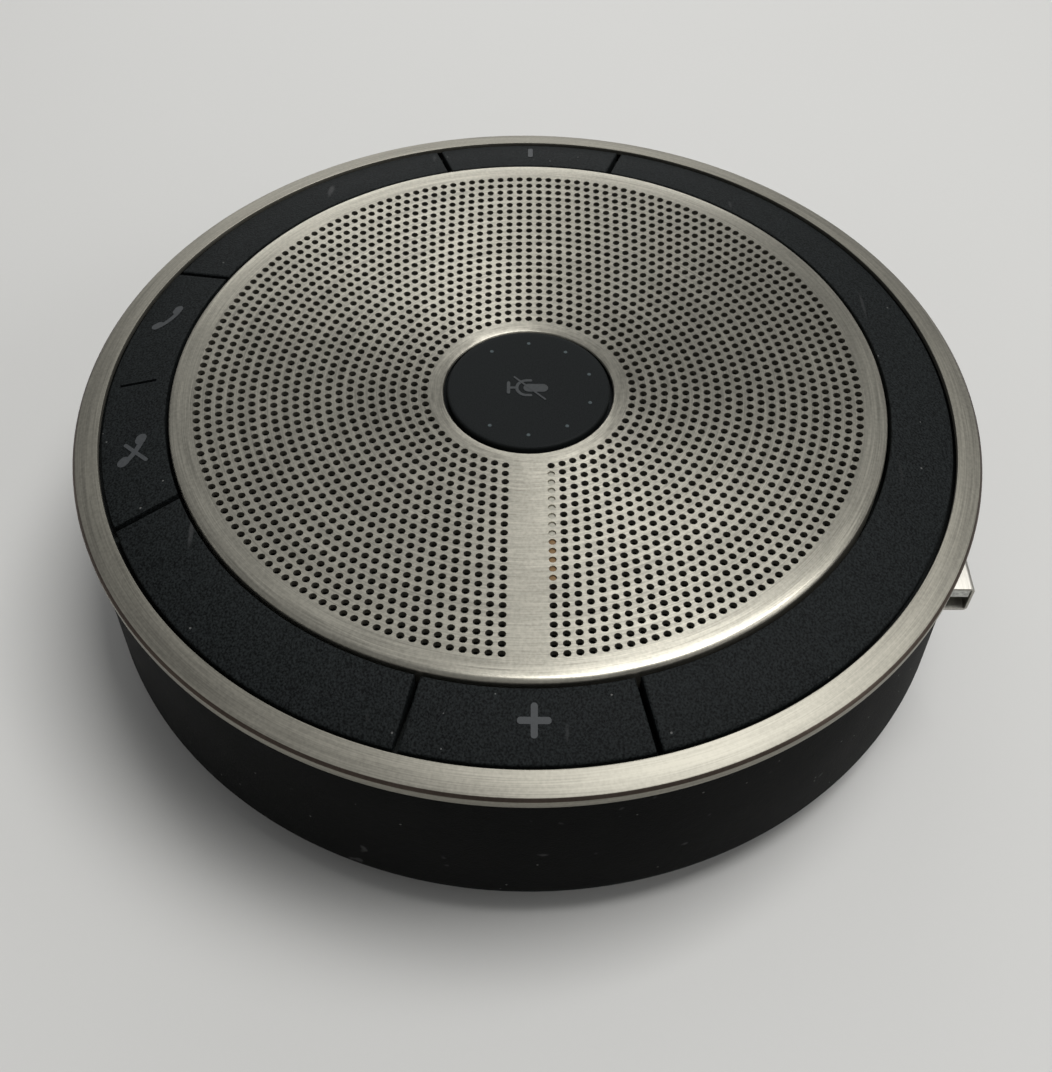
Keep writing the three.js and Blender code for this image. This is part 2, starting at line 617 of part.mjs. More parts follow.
function bottomCover() {
  const plate = disc(TUB_OUTER, COVER_UNDERSIDE, COVER_TOP, FINE);
  let cover = besidePocket(plate, POCKET_Y);
  for (const angle of BOSS_ANGLES) {
    const [x, y] = polar(BOSS_CIRCLE, angle);
    cover = cover.subtract(disc(SCREW_HOLE_RADIUS, 0, COVER_TOP + 1, SMALL, x, y));
  }
  for (const angle of BOARD_POST_ANGLES) {
    const [x, y] = polar(BOARD_POST_CIRCLE, angle);
    const top = BOARD_UNDERSIDE - GAP;
    cover = cover
      .add(disc(BOARD_POST_RADIUS, COVER_TOP - 0.5, top, SMALL, x, y))
      .subtract(disc(SCREW_HOLE_RADIUS, top - BOARD_SCREW_DEPTH, top + 1, SMALL, x, y));
  }
  return cover;
}

function footRing() {
  const outer = POCKET_Y - FOOT_INSET;
  return tubeRing(outer - FOOT_WIDTH, outer, 0, COVER_UNDERSIDE - GAP, FINE);
}

// A cross-head screw. Its head is on the side that `up` points to.
function screw(x, y, seat, length, up) {
  const headEnd = seat + up * SCREW_HEAD_HEIGHT;
  const tip = seat - up * length;
  const span = (a, b) => [Math.min(a, b), Math.max(a, b)];
  const head = disc(SCREW_HEAD_RADIUS, ...span(seat, headEnd), SMALL, x, y);
  const shank = disc(SCREW_SHANK_RADIUS, ...span(seat + (up * SCREW_HEAD_HEIGHT) / 2, tip), SMALL, x, y);
  const depth = span(headEnd - (up * SCREW_HEAD_HEIGHT) / 2, headEnd + up);
  const reach = SCREW_HEAD_RADIUS * 0.6;
  const slot = SCREW_HEAD_RADIUS * 0.14;
  const cross = block(x - reach, x + reach, y - slot, y + slot, ...depth)
    .add(block(x - slot, x + slot, y - reach, y + reach, ...depth));
  return head.add(shank).subtract(cross);
}

// ---- USB lead ----
// The winding fills the channel's height in whole half turns, then the lead runs straight
// in through the tub's wall.
const WINDING_TOP = CHANNEL_ROOF - CABLE_RADIUS - 2 * GAP;
const WINDING_BOTTOM = COVER_TOP + 3 * GAP + GLAND_RADIUS;
const HALF_TURNS = Math.floor((2 * (WINDING_TOP - WINDING_BOTTOM)) / CABLE_SPACING);
const CABLE_TURNS = HALF_TURNS / 2;
const CABLE_PITCH = (WINDING_TOP - WINDING_BOTTOM) / CABLE_TURNS;
const WINDING_END = WINDING_START + 360 * CABLE_TURNS;
const GLAND_OUTSIDE_ANGLE = WINDING_END + 10;
const GLAND_INSIDE_ANGLE = WINDING_END + 34;
const GLAND_OUTSIDE_RADIUS = CABLE_CIRCLE - 0.6;
const GLAND_INSIDE_RADIUS = TUB_INNER - 4.2;

function glandEnds() {
  const outside = new THREE.Vector3(...polar(GLAND_OUTSIDE_RADIUS, GLAND_OUTSIDE_ANGLE), WINDING_BOTTOM);
  const inside = new THREE.Vector3(...polar(GLAND_INSIDE_RADIUS, GLAND_INSIDE_ANGLE), WINDING_BOTTOM);
  return { outside, inside };
}

function glandSleeve(radius, length) {
  const { outside, inside } = glandEnds();
  const direction = inside.clone().sub(outside).normalize();
  const middle = outside.clone().lerp(inside, GLAND_PLACE);
  const geometry = new THREE.CylinderGeometry(radius, radius, length, SMALL);
  geometry.applyQuaternion(new THREE.Quaternion().setFromUnitVectors(new THREE.Vector3(0, 1, 0), direction));
  return solid(geometry.translate(middle.x, middle.y, middle.z));
}

function cableGland() {
  return glandSleeve(GLAND_RADIUS, GLAND_LENGTH)
    .subtract(glandSleeve(CABLE_RADIUS + GLAND_BORE_CLEARANCE, GLAND_LENGTH + 2));
}

// The lead leaves the plug, comes down into the channel, winds round the tub and goes in.
function cableRoute() {
  const points = [
    new THREE.Vector3(RELIEF_END_X - GAP, PLUG_Y, PLUG_Z),
    new THREE.Vector3(RELIEF_END_X - 4, PLUG_Y, PLUG_Z - 0.1),
  ];
  const straight = Math.atan2(PLUG_Y, RELIEF_END_X - 4);
  const start = THREE.MathUtils.radToDeg(straight) + 7;
  const lead = 6;
  for (let i = 0; i < lead; i += 1) {
    const share = i / lead;
    const fall = THREE.MathUtils.smoothstep(share, 0, 1);
    const angle = start + share * (WINDING_START - start);
    points.push(new THREE.Vector3(...polar(CABLE_CIRCLE, angle), PLUG_Z + fall * (WINDING_TOP - PLUG_Z)));
  }
  const perTurn = 24;
  const total = perTurn * CABLE_TURNS;
  for (let i = 0; i <= total; i += 1) {
    const angle = WINDING_START + (360 * i) / perTurn;
    const height = WINDING_TOP - (CABLE_PITCH * i) / perTurn;
    points.push(new THREE.Vector3(...polar(CABLE_CIRCLE, angle), height));
  }
  const { outside, inside } = glandEnds();
  for (let i = 0; i <= 4; i += 1) {
    points.push(outside.clone().lerp(inside, i / 4));
  }
  return new THREE.CatmullRomCurve3(points);
}

function usbCable() {
  const round = new THREE.Shape();
  round.absarc(0, 0, CABLE_RADIUS, 0, 2 * Math.PI);
  const options = {
    steps: CABLE_LEAD_STEPS + CABLE_STEPS_PER_TURN * CABLE_TURNS,
    curveSegments: CABLE_SIDES / 2,
    bevelEnabled: false,
    extrudePath: cableRoute(),
  };
  return solid(new THREE.ExtrudeGeometry(round, options));
}

// A rounded bar along X, for the plug's metal and its plastic grip.
function bar(x0, x1, width, height, corner) {
  const shape = new THREE.Shape();
  const w = width / 2;
  const h = height / 2;
  shape.moveTo(-w + corner, -h);
  shape.lineTo(w - corner, -h);
  shape.absarc(w - corner, -h + corner, corner, -Math.PI / 2, 0);
  shape.lineTo(w, h - corner);
  shape.absarc(w - corner, h - corner, corner, 0, Math.PI / 2);
  shape.lineTo(-w + corner, h);
  shape.absarc(-w + corner, h - corner, corner, Math.PI / 2, Math.PI);
  shape.lineTo(-w, -h + corner);
  shape.absarc(-w + corner, -h + corner, corner, Math.PI, 1.5 * Math.PI);
  const geometry = new THREE.ExtrudeGeometry(shape, {
    depth: x1 - x0,
    curveSegments: 4,
    bevelEnabled: false,
  });
  geometry.rotateX(Math.PI / 2).rotateZ(Math.PI / 2);
  return solid(geometry.translate(x0, PLUG_Y, PLUG_Z));
}

function plugShell() {
  const back = PLUG_TIP_X - PLUG_METAL_LENGTH;
  const hollow = [PLUG_WIDTH - 2 * PLUG_WALL, PLUG_HEIGHT - 2 * PLUG_WALL, PLUG_CORNER - PLUG_WALL];
  return bar(back, PLUG_TIP_X, PLUG_WIDTH, PLUG_HEIGHT, PLUG_CORNER)
    .subtract(bar(back - 1, PLUG_TIP_X + 1, ...hollow));
}

function plugTongue() {
  const half = PLUG_WIDTH / 2 - PLUG_WALL - 0.1;
  const top = PLUG_Z + PLUG_HEIGHT / 2 - PLUG_WALL - 0.1;
  const back = PLUG_TIP_X - PLUG_METAL_LENGTH;
  return block(back, PLUG_TIP_X - TONGUE_SETBACK, PLUG_Y - half, PLUG_Y + half, top - TONGUE_HEIGHT, top);
}

function plugOvermould() {
  const grip = bar(OVERMOULD_BACK_X, OVERMOULD_FRONT_X, OVERMOULD_WIDTH, OVERMOULD_HEIGHT, OVERMOULD_CORNER);
  const relief = new THREE.CylinderGeometry(RELIEF_ROOT_RADIUS, RELIEF_TIP_RADIUS, RELIEF_LENGTH + 1, SMALL);
  relief.rotateZ(-Math.PI / 2);
  relief.translate(OVERMOULD_BACK_X + (1 - RELIEF_LENGTH) / 2, PLUG_Y, PLUG_Z);
  return grip.add(solid(relief));
}

// ---- Key boards and switches ----
const KEY_BOARD_SPANS = {
  up: [VOLUME_UP_ANGLE, 22],
  down: [VOLUME_DOWN_ANGLE, 22],
  call: [CALL_ANGLE, 44],
};

function keyBoard(angle, span) {
  const low = KEY_BOARD_TOP - KEY_BOARD_THICKNESS;
  const ring = tubeRing(KEY_BOARD_INNER, KEY_BOARD_OUTER, low, KEY_BOARD_TOP, FINE);
  return ring.intersect(wedge(angle - span / 2, angle + span / 2, 0, 0, FAR));
}

function keySwitch(angle) {
  const geometry = new THREE.BoxGeometry(SWITCH_SIZE, SWITCH_SIZE, SWITCH_HEIGHT - 0.1);
  geometry.translate(KEY_BOARD_MIDDLE, 0, KEY_BOARD_TOP + 0.1 + (SWITCH_HEIGHT - 0.1) / 2);
  return turned(geometry, angle);
}

// ---- Loudspeaker ----
// The motor fills the depth between the baffle and the casing's floor.
const FLANGE_LOW = BAFFLE_TOP + GAP + 0.5;
const FLANGE_HIGH = FLANGE_LOW + DRIVER_FLANGE;
const YOKE_TOP = MOTOR_FLOOR + PLATE_THICKNESS;
const MOTOR_DEPTH = FLANGE_LOW - MOTOR_FLOOR;
const BASKET_DEPTH = MOTOR_DEPTH * 0.44;
const TOP_PLATE_HIGH = FLANGE_LOW - BASKET_DEPTH;
const TOP_PLATE_LOW = TOP_PLATE_HIGH - PLATE_THICKNESS;
const CONE_OUTER_TOP = FLANGE_HIGH - 0.2;
const CONE_INNER_TOP = CONE_OUTER_TOP - BASKET_DEPTH * 0.45;
const CONE_THICKNESS = 0.6;
const COIL_WALL = 0.5;
const SPIDER_Z = TOP_PLATE_HIGH + BASKET_DEPTH * 0.25;
const BASKET_WALL = 1;

function speakerGasket() {
  const inner = BAFFLE_HOLE_RADIUS + 0.5;
  return tubeRing(inner, DRIVER_RADIUS - 0.5, BAFFLE_TOP + 0.15, FLANGE_LOW - 0.15, MEDIUM);
}

function speakerBasket() {
  const mouth = BAFFLE_HOLE_RADIUS - GAP;
  const neck = MAGNET_RADIUS - 1;
  return revolve([
    [neck, TOP_PLATE_HIGH + 0.1],
    [neck + BASKET_WALL * 2, TOP_PLATE_HIGH + 0.1],
    [mouth, FLANGE_LOW - BASKET_WALL],
    [mouth, FLANGE_LOW],
    [DRIVER_RADIUS, FLANGE_LOW],
    [DRIVER_RADIUS, FLANGE_HIGH],
    [DRIVER_RADIUS - 1, FLANGE_HIGH],
    [DRIVER_RADIUS - 1, FLANGE_LOW + 0.4],
    [mouth - BASKET_WALL, FLANGE_LOW + 0.4],
    [neck, TOP_PLATE_HIGH + BASKET_WALL],
  ], MEDIUM);
}

// A half-round roll of rubber between the cone and the basket's flange.
function speakerSurround() {
  const inner = CONE_RADIUS + GAP;
  const outer = DRIVER_RADIUS - 1 - GAP;
  const low = FLANGE_LOW + 0.4 + GAP;
  const crest = low + 1.3;
  const rollStart = CONE_RADIUS + 1.5;
  const rollEnd = rollStart + SURROUND_WIDTH;
  const middle = (rollStart + rollEnd) / 2;
  return revolve([
    [inner, low],
    [rollStart + 0.6, low],
    [middle, crest - 0.5],
    [rollEnd - 0.6, low],
    [outer, low],
    [outer, low + 0.4],
    [rollEnd, low + 0.4],
    [middle + 1.2, crest - 0.2],
    [middle, crest],
    [middle - 1.2, crest - 0.2],
    [rollStart, low + 0.4],
    [inner, low + 0.4],
  ], MEDIUM);
}

function speakerCone() {
  const inner = COIL_RADIUS + COIL_WALL + GAP;
  return revolve([
    [inner, CONE_INNER_TOP - CONE_THICKNESS],
    [CONE_RADIUS, CONE_OUTER_TOP - CONE_THICKNESS],
    [CONE_RADIUS, CONE_OUTER_TOP],
    [inner, CONE_INNER_TOP],
  ], MEDIUM);
}

function speakerDustCap() {
  const rim = COIL_RADIUS + COIL_WALL;
  const low = CONE_INNER_TOP + GAP;
  return revolve([
    [0, low + 1],
    [rim * 0.6, low + 0.7],
    [rim, low],
    [rim, low + 0.5],
    [rim * 0.6, low + 1.2],
    [0, low + 1.5],
  ], MEDIUM);
}

function voiceCoil() {
  const low = (TOP_PLATE_LOW + YOKE_TOP) / 2;
  return tubeRing(COIL_RADIUS, COIL_RADIUS + COIL_WALL, low, CONE_INNER_TOP, MEDIUM);
}

function speakerSpider() {
  const inner = COIL_RADIUS + COIL_WALL + GAP;
  const share = (SPIDER_Z - TOP_PLATE_HIGH) / BASKET_DEPTH;
  const outer = MAGNET_RADIUS - 1 - GAP + share * 2;
  return tubeRing(inner, outer - GAP, SPIDER_Z, SPIDER_Z + 0.4, MEDIUM);
}

function speakerTopPlate() {
  const inner = COIL_RADIUS + COIL_WALL + GAP;
  return tubeRing(inner, MAGNET_RADIUS - 1, TOP_PLATE_LOW + 0.1, TOP_PLATE_HIGH - 0.1, MEDIUM);
}

function speakerMagnet() {
  return tubeRing(COIL_RADIUS + 3, MAGNET_RADIUS, YOKE_TOP + 0.1, TOP_PLATE_LOW, MEDIUM);
}

function speakerYoke() {
  const pole = COIL_RADIUS - GAP;
  return revolve([
    [0, MOTOR_FLOOR],
    [MAGNET_RADIUS - 0.5, MOTOR_FLOOR],
    [MAGNET_RADIUS - 0.5, YOKE_TOP],
    [pole, YOKE_TOP],
    [pole, TOP_PLATE_HIGH],
    [0, TOP_PLATE_HIGH],
  ], MEDIUM);
}

// ---- Main board ----
function mainBoard() {
  let board = tubeRing(MAGNET_RADIUS + 1, BOARD_OUTER_RADIUS, BOARD_UNDERSIDE, BOARD_TOP, FINE);
  for (const angle of BOARD_POST_ANGLES) {
    const [x, y] = polar(BOARD_POST_CIRCLE, angle);
    board = board.subtract(disc(SCREW_HOLE_RADIUS, BOARD_UNDERSIDE - 1, BOARD_TOP + 1, SMALL, x, y));
  }
  return besidePocket(board, POCKET_Y - WALL - GAP);
}

// A flat package on the main board.
function chip(radius, angle, width, depth, height) {
  const geometry = new THREE.BoxGeometry(width, depth, height);
  geometry.translate(radius, 0, BOARD_TOP + 0.1 + height / 2);
  return turned(geometry, angle);
}

// ---- Microphones ----
function microphone(angle) {
  const geometry = new THREE.BoxGeometry(MIC_SIZE, MIC_SIZE, MIC_HEIGHT);
  geometry.translate(MIC_CIRCLE, 0, BAFFLE_TOP + 0.2 + MIC_HEIGHT / 2);
  return turned(geometry, angle);
}

// A rubber tube that holds the microphone and leads up to the back of the grille.
function microphoneBoot(angle) {
  const [x, y] = polar(MIC_CIRCLE, angle);
  const low = BAFFLE_TOP + 0.2;
  const high = dishHeight(MIC_CIRCLE - BOOT_RADIUS) - GRILLE_THICKNESS - MESH_THICKNESS - 2 * GAP - 0.2;
  const room = new THREE.BoxGeometry(MIC_SIZE + 2 * GAP, MIC_SIZE + 2 * GAP, 2 * (MIC_HEIGHT + GAP));
  room.translate(MIC_CIRCLE, 0, low);
  return disc(BOOT_RADIUS, low, high, SMALL, x, y)
    .subtract(disc(BOOT_HOLE, low - 1, high + 1, SMALL, x, y))
    .subtract(turned(room, angle));
}

// ---- Assembly ----
add("trim_ring", trimRing(), BRUSHED_STEEL);
add("speaker_grille", speakerGrille(), BRUSHED_STEEL);
add("dust_mesh", dustMesh(), SOFT_BLACK);
add("indicator_guide", indicatorGuide(), LIGHT_PLASTIC);
add("volume_up_key", volumeKey(VOLUME_UP_ANGLE), KEY_PLASTIC);
add("volume_down_key", volumeKey(VOLUME_DOWN_ANGLE), KEY_PLASTIC);
add("call_key", callKey(), KEY_PLASTIC);

const upEnd = VOLUME_UP_ANGLE + VOLUME_SPAN / 2;
const downStart = VOLUME_DOWN_ANGLE - VOLUME_SPAN / 2;
const downEnd = VOLUME_DOWN_ANGLE + VOLUME_SPAN / 2;
const callStart = CALL_ANGLE - CALL_SPAN / 2;
const callEnd = CALL_ANGLE + CALL_SPAN / 2;
add("rear_ring_cover", fixedPad(upEnd, downStart), KEY_PLASTIC);
add("left_ring_cover", fixedPad(downEnd, callStart), KEY_PLASTIC);
add("right_ring_cover", fixedPad(callEnd, 360 - VOLUME_SPAN / 2), KEY_PLASTIC);

add("mute_button", muteButton(), SOFT_BLACK);
add("mute_light_ring", muteLightRing(), LIGHT_PLASTIC);
add("mute_board", muteBoard(), BOARD_GREEN);
add("mute_switch", muteSwitch(), CHIP_BLACK);
add("button_carrier", buttonCarrier(), CASE_PLASTIC);

add("upper_housing", upperHousing(), CASE_PLASTIC);
add("side_shell", sideShell(), CASE_PLASTIC);
add("base_tub", baseTub(), CASE_PLASTIC);
add("bottom_cover", bottomCover(), CASE_PLASTIC);
add("foot_ring", footRing(), RUBBER);
BOSS_ANGLES.forEach((angle, i) => {
  const [x, y] = polar(BOSS_CIRCLE, angle);
  add(`housing_screw_${i + 1}`, screw(x, y, COVER_UNDERSIDE - 0.15, SCREW_LENGTH, -1), BRIGHT_STEEL);
});

add("usb_plug_shell", plugShell(), BRIGHT_STEEL);
add("usb_plug_tongue", plugTongue(), LIGHT_PLASTIC);
add("usb_plug_overmould", plugOvermould(), RUBBER);
add("usb_cable", usbCable(), RUBBER);
add("cable_gland", cableGland(), RUBBER);

for (const [name, [angle, span]] of Object.entries(KEY_BOARD_SPANS)) {
  add(`key_board_${name}`, keyBoard(angle, span), BOARD_GREEN);
}
for (const [name, angle] of Object.entries(SWITCH_ANGLES)) {
  add(`switch_${name}`, keySwitch(angle), CHIP_BLACK);
}

add("speaker_gasket", speakerGasket(), RUBBER);
add("speaker_basket", speakerBasket(), CASE_PLASTIC);
add("speaker_surround", speakerSurround(), RUBBER);
add("speaker_cone", speakerCone(), PAPER_CONE);
add("speaker_dust_cap", speakerDustCap(), PAPER_CONE);
add("voice_coil", voiceCoil(), COPPER);
add("speaker_spider", speakerSpider(), AMBER_CLOTH);
add("speaker_top_plate", speakerTopPlate(), BRIGHT_STEEL);
add("speaker_magnet", speakerMagnet(), FERRITE);
add("speaker_yoke", speakerYoke(), BRIGHT_STEEL);

add("main_board", mainBoard(), BOARD_GREEN);
BOARD_POST_ANGLES.forEach((angle, i) => {
  const [x, y] = polar(BOARD_POST_CIRCLE, angle);
  add(`board_screw_${i + 1}`, screw(x, y, BOARD_TOP + 0.15, BOARD_THICKNESS + GAP + 1, 1), BRIGHT_STEEL);
});
add("audio_processor", chip(BOARD_POST_CIRCLE - 1, 40, 8, 8, 1), CHIP_BLACK);
add("audio_amplifier", chip(BOARD_POST_CIRCLE - 1, 180, 5, 5, 0.9), CHIP_BLACK);
add("cable_header", chip(BOARD_POST_CIRCLE + 3, 0, 3, 9, 3), LIGHT_PLASTIC);

MIC_ANGLES.forEach((angle, i) => {
  add(`microphone_${i + 1}`, microphone(angle), BRIGHT_STEEL);
  add(`microphone_boot_${i + 1}`, microphoneBoot(angle), RUBBER);
});

export default speakerphone;
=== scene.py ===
"""Visible pieces, finishes, stage and camera of a round conference speakerphone.

Meshes are modelled in millimetres and scaled to metres when a piece is finished.
X points to the volume-up key, -Y to the call key, and Z up from the table.
"""

import math

import bmesh
import bpy
from mathutils import Matrix, Quaternion, Vector
from mathutils.kdtree import KDTree


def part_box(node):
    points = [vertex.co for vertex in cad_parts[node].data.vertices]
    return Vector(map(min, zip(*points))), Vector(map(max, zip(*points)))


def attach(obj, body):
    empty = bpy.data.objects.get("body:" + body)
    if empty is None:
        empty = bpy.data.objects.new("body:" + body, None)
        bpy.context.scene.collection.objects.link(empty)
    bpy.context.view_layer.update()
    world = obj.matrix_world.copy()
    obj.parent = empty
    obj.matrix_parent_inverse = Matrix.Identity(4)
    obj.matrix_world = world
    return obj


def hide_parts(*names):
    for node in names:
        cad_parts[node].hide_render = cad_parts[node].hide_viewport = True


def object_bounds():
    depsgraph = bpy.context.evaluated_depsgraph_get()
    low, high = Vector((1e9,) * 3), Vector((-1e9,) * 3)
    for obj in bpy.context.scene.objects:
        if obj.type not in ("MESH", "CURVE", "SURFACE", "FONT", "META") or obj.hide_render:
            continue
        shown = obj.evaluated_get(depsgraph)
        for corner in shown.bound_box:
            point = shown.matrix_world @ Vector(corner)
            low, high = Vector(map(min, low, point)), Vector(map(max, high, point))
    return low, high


bl_info = {
    "name": "Conference speakerphone",
    "version": (1, 0, 0),
    "blender": (4, 5, 0),
    "location": "View3D > Sidebar > Speakerphone",
    "description": "Makes a round conference speakerphone, its finishes and its stage",
    "category": "Object",
}

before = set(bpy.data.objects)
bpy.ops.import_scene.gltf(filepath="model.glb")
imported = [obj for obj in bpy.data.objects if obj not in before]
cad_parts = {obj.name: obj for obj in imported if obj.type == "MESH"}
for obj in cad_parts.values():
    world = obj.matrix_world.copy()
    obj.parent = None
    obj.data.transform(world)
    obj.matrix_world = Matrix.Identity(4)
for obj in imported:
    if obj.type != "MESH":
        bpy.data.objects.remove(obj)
CAD_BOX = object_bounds()
MM = 0.001
BODY_HEIGHT = CAD_BOX[1].z / MM
BODY_RADIUS = CAD_BOX[1].x / MM


def node_span(name, axis):
    """The lowest and highest place of a CAD node along an axis, in millimetres."""
    low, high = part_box(name)
    return low[axis] / MM, high[axis] / MM


TRIM_WIDTH = 3.4
TRIM_OUTER = node_span("trim_ring", 0)[1]
TRIM_INNER = TRIM_OUTER - TRIM_WIDTH
TRIM_LOW = node_span("trim_ring", 2)[0]
KEY_OUTER = node_span("volume_up_key", 0)[1]
KEY_WIDTH = 8.45
KEY_INNER = KEY_OUTER - KEY_WIDTH
KEY_INNER_DROP = 0.45  # from the grille's rim down to the keys' inner edge
KEY_FALL = 2.25  # from the keys' inner edge down to their outer edge
KEY_UNDERSIDE = TRIM_LOW + 0.9
GRILLE_OUTER = node_span("speaker_grille", 0)[1]
GRILLE_HOLE = 11.4  # radius of the round opening for the mute button
GRILLE_LEVEL_RIM = 2.6  # width of the grille's level edge
DISH_DEPTH = 2.15
DISH_POWER = 1.8
SHEET = 0.7  # thickness of the grille's steel
MUTE_TOP = node_span("mute_button", 2)[1]
PLUG_Y = sum(node_span("usb_plug_shell", 1)) / 2
PLUG_Z = sum(node_span("usb_plug_shell", 2)) / 2

FIRST_HOLE_RING = 10
LAST_HOLE_RING = 31
RING_PITCH = 1.409
RING_START = 0.16
STRIP_COLUMNS = (-1, 0, 1)
FINE_STEPS = 256


# ---- Shader maths ----
class Value:
    """A node's output that takes part in Python sums and products."""

    def __init__(self, finish, socket):
        self.finish = finish
        self.socket = socket

    def maths(self, operation, *values):
        return self.finish.node("ShaderNodeMath", {"operation": operation}, values)

    def __add__(self, other):
        return self.maths("ADD", self, other)

    def __sub__(self, other):
        return self.maths("SUBTRACT", self, other)

    def __rsub__(self, other):
        return self.maths("SUBTRACT", other, self)

    def __mul__(self, other):
        return self.maths("MULTIPLY", self, other)

    def __truediv__(self, other):
        return self.maths("DIVIDE", self, other)

    def __lt__(self, other):
        return self.maths("LESS_THAN", self, other)

    __radd__ = __add__
    __rmul__ = __mul__


class Finish:
    """A procedural material, with the constants of its shader set by name."""

    def __init__(self, name, **constants):
        self.material = bpy.data.materials.new(name)
        self.material.use_nodes = True
        self.tree = self.material.node_tree
        self.shader = self.tree.nodes["Principled BSDF"]
        for key, value in constants.items():
            self.shader.inputs[key.replace("_", " ")].default_value = value
        self.place = self.node("ShaderNodeTexCoord", {}, {}, "Object")

    def node(self, kind, settings, inputs, output=0):
        """Adds a node. Its settings come first, then its inputs, by name or in order."""
        node = self.tree.nodes.new(kind)
        for key, value in settings.items():
            if key == "stops":
                for element, (place, shade) in zip(node.color_ramp.elements, value):
                    element.position = place
                    element.color = (shade, shade, shade, 1)
            else:
                setattr(node, key, value)
        named = inputs.items() if isinstance(inputs, dict) else enumerate(inputs)
        for key, value in named:
            self.feed(node.inputs[key], value)
        return Value(self, node.outputs[output])

    def feed(self, socket, value):
        if isinstance(value, Value):
            self.tree.links.new(value.socket, socket)
        else:
            socket.default_value = value

    def noise(self, scale, detail=2.0, vector=None):
        inputs = {"Vector": vector or self.place, "Scale": scale, "Detail": detail}
        return self.node("ShaderNodeTexNoise", {}, inputs, "Fac")

    def ramp(self, value, low, high):
        """0 below low and 1 above high, straight between them."""
        stops = [(low, 0), (high, 1)]
        return self.node("ShaderNodeValToRGB", {"stops": stops}, [value])

    def mix(self, factor, first, second):
        """A colour between two colours."""
        inputs = {0: factor, 6: first, 7: second}
        return self.node("ShaderNodeMix", {"data_type": "RGBA"}, inputs, 2)

    def specks(self, scale, size, share):
        """Scattered grains, where only some of the cells hold one."""
        inputs = {"Vector": self.place, "Scale": scale}
        near = self.node("ShaderNodeTexVoronoi", {}, inputs, "Distance")
        tint = self.node("ShaderNodeTexVoronoi", {}, inputs, "Color")
        chance = self.node("ShaderNodeSeparateColor", {}, [tint])
        return (near < size) * (chance < share)

    def bump(self, height, distance, strength=1.0):
        inputs = {"Height": height, "Distance": distance, "Strength": strength}
        normal = self.node("ShaderNodeBump", {}, inputs, "Normal")
        self.feed(self.shader.inputs["Normal"], normal)

    def colour(self, value):
        self.feed(self.shader.inputs["Base Color"], value)

    def roughness(self, value):
        self.feed(self.shader.inputs["Roughness"], value)

    def rings(self, per_metre, lengthwise):
        """Coordinates that follow circles round the Z axis, for brushed metal."""
        axes = self.node("ShaderNodeSeparateXYZ", {}, [self.place])
        x = axes
        y = Value(self, axes.socket.node.outputs[1])
        z = Value(self, axes.socket.node.outputs[2])
        flat = self.node("ShaderNodeCombineXYZ", {}, [x, y, 0.0])
        radius = self.node("ShaderNodeVectorMath", {"operation": "LENGTH"}, [flat], 1)
        across = (radius + z) * per_metre
        along = [x / radius * lengthwise, y / radius * lengthwise]
        return self.node("ShaderNodeCombineXYZ", {}, [across, *along])


def scaled(colour, factor):
    """A colour made lighter or darker by a factor."""
    return (*(channel * factor for channel in colour[:3]), 1.0)


FINISHES = {}
SCRATCH_COLOUR = (0.12, 0.12, 0.12, 1.0)
DUST_COLOUR = (0.22, 0.22, 0.21, 1.0)


def brushed_steel(name, colour, anisotropy, rough):
    """Steel brushed round the Z axis, with fine and broad streaks."""
    finish = Finish(
        name, Metallic=1.0, Anisotropic=anisotropy, Anisotropic_Rotation=0.25
    )
    fine = finish.noise(1.0, 3.0, finish.rings(9000, 5.0))
    broad = finish.noise(1.0, 2.0, finish.rings(1600, 2.2))
    cloud = finish.noise(45.0, 2.0)
    speckle = finish.noise(2400.0, 2.0)
    streaks = fine * 0.5 + broad * 0.25 + speckle * 0.25
    shade = finish.ramp(streaks, 0.38, 0.62)
    finish.colour(finish.mix(shade, scaled(colour, 0.74), scaled(colour, 1.16)))
    finish.roughness(streaks * 0.2 + cloud * 0.08 + (rough - 0.14))
    finish.bump(streaks, 0.00002, 0.5)
    FINISHES[name] = finish.material


def moulded(
    name, colour, rough, grain, depth, dust_share=0.1, shine=0.25, contrast=0.3
):
    """Moulded plastic with a fine spark grain, uneven sheen and a little dust."""
    finish = Finish(name, Specular_IOR_Level=shine)
    fine = finish.noise(grain, 2.0)
    coarse = finish.noise(grain / 5, 2.0)
    worn = finish.noise(60.0, 3.0)
    spread = finish.ramp(fine, 0.34, 0.66)
    dark, light = scaled(colour, 1 - contrast), scaled(colour, 1 + contrast)
    base = finish.mix(spread, dark, light)
    base = finish.mix(worn * 0.35, base, scaled(colour, 1.9))
    slant = {
        "Vector": finish.place,
        "Rotation": (0.5, 0.9, 0.4),
        "Scale": (9, 420, 420),
    }
    lines = finish.noise(1.0, 1.0, finish.node("ShaderNodeMapping", {}, slant))
    scratch = finish.ramp(lines, 0.74, 0.8)
    base = finish.mix(scratch * 0.3, base, SCRATCH_COLOUR)
    dust = finish.specks(520.0, 0.07, dust_share)
    finish.colour(finish.mix(dust * 0.45, base, DUST_COLOUR))
    finish.roughness(worn * 0.14 + fine * 0.1 + (rough - 0.12))
    finish.bump(fine + coarse * 0.8, depth, 0.6)
    FINISHES[name] = finish.material


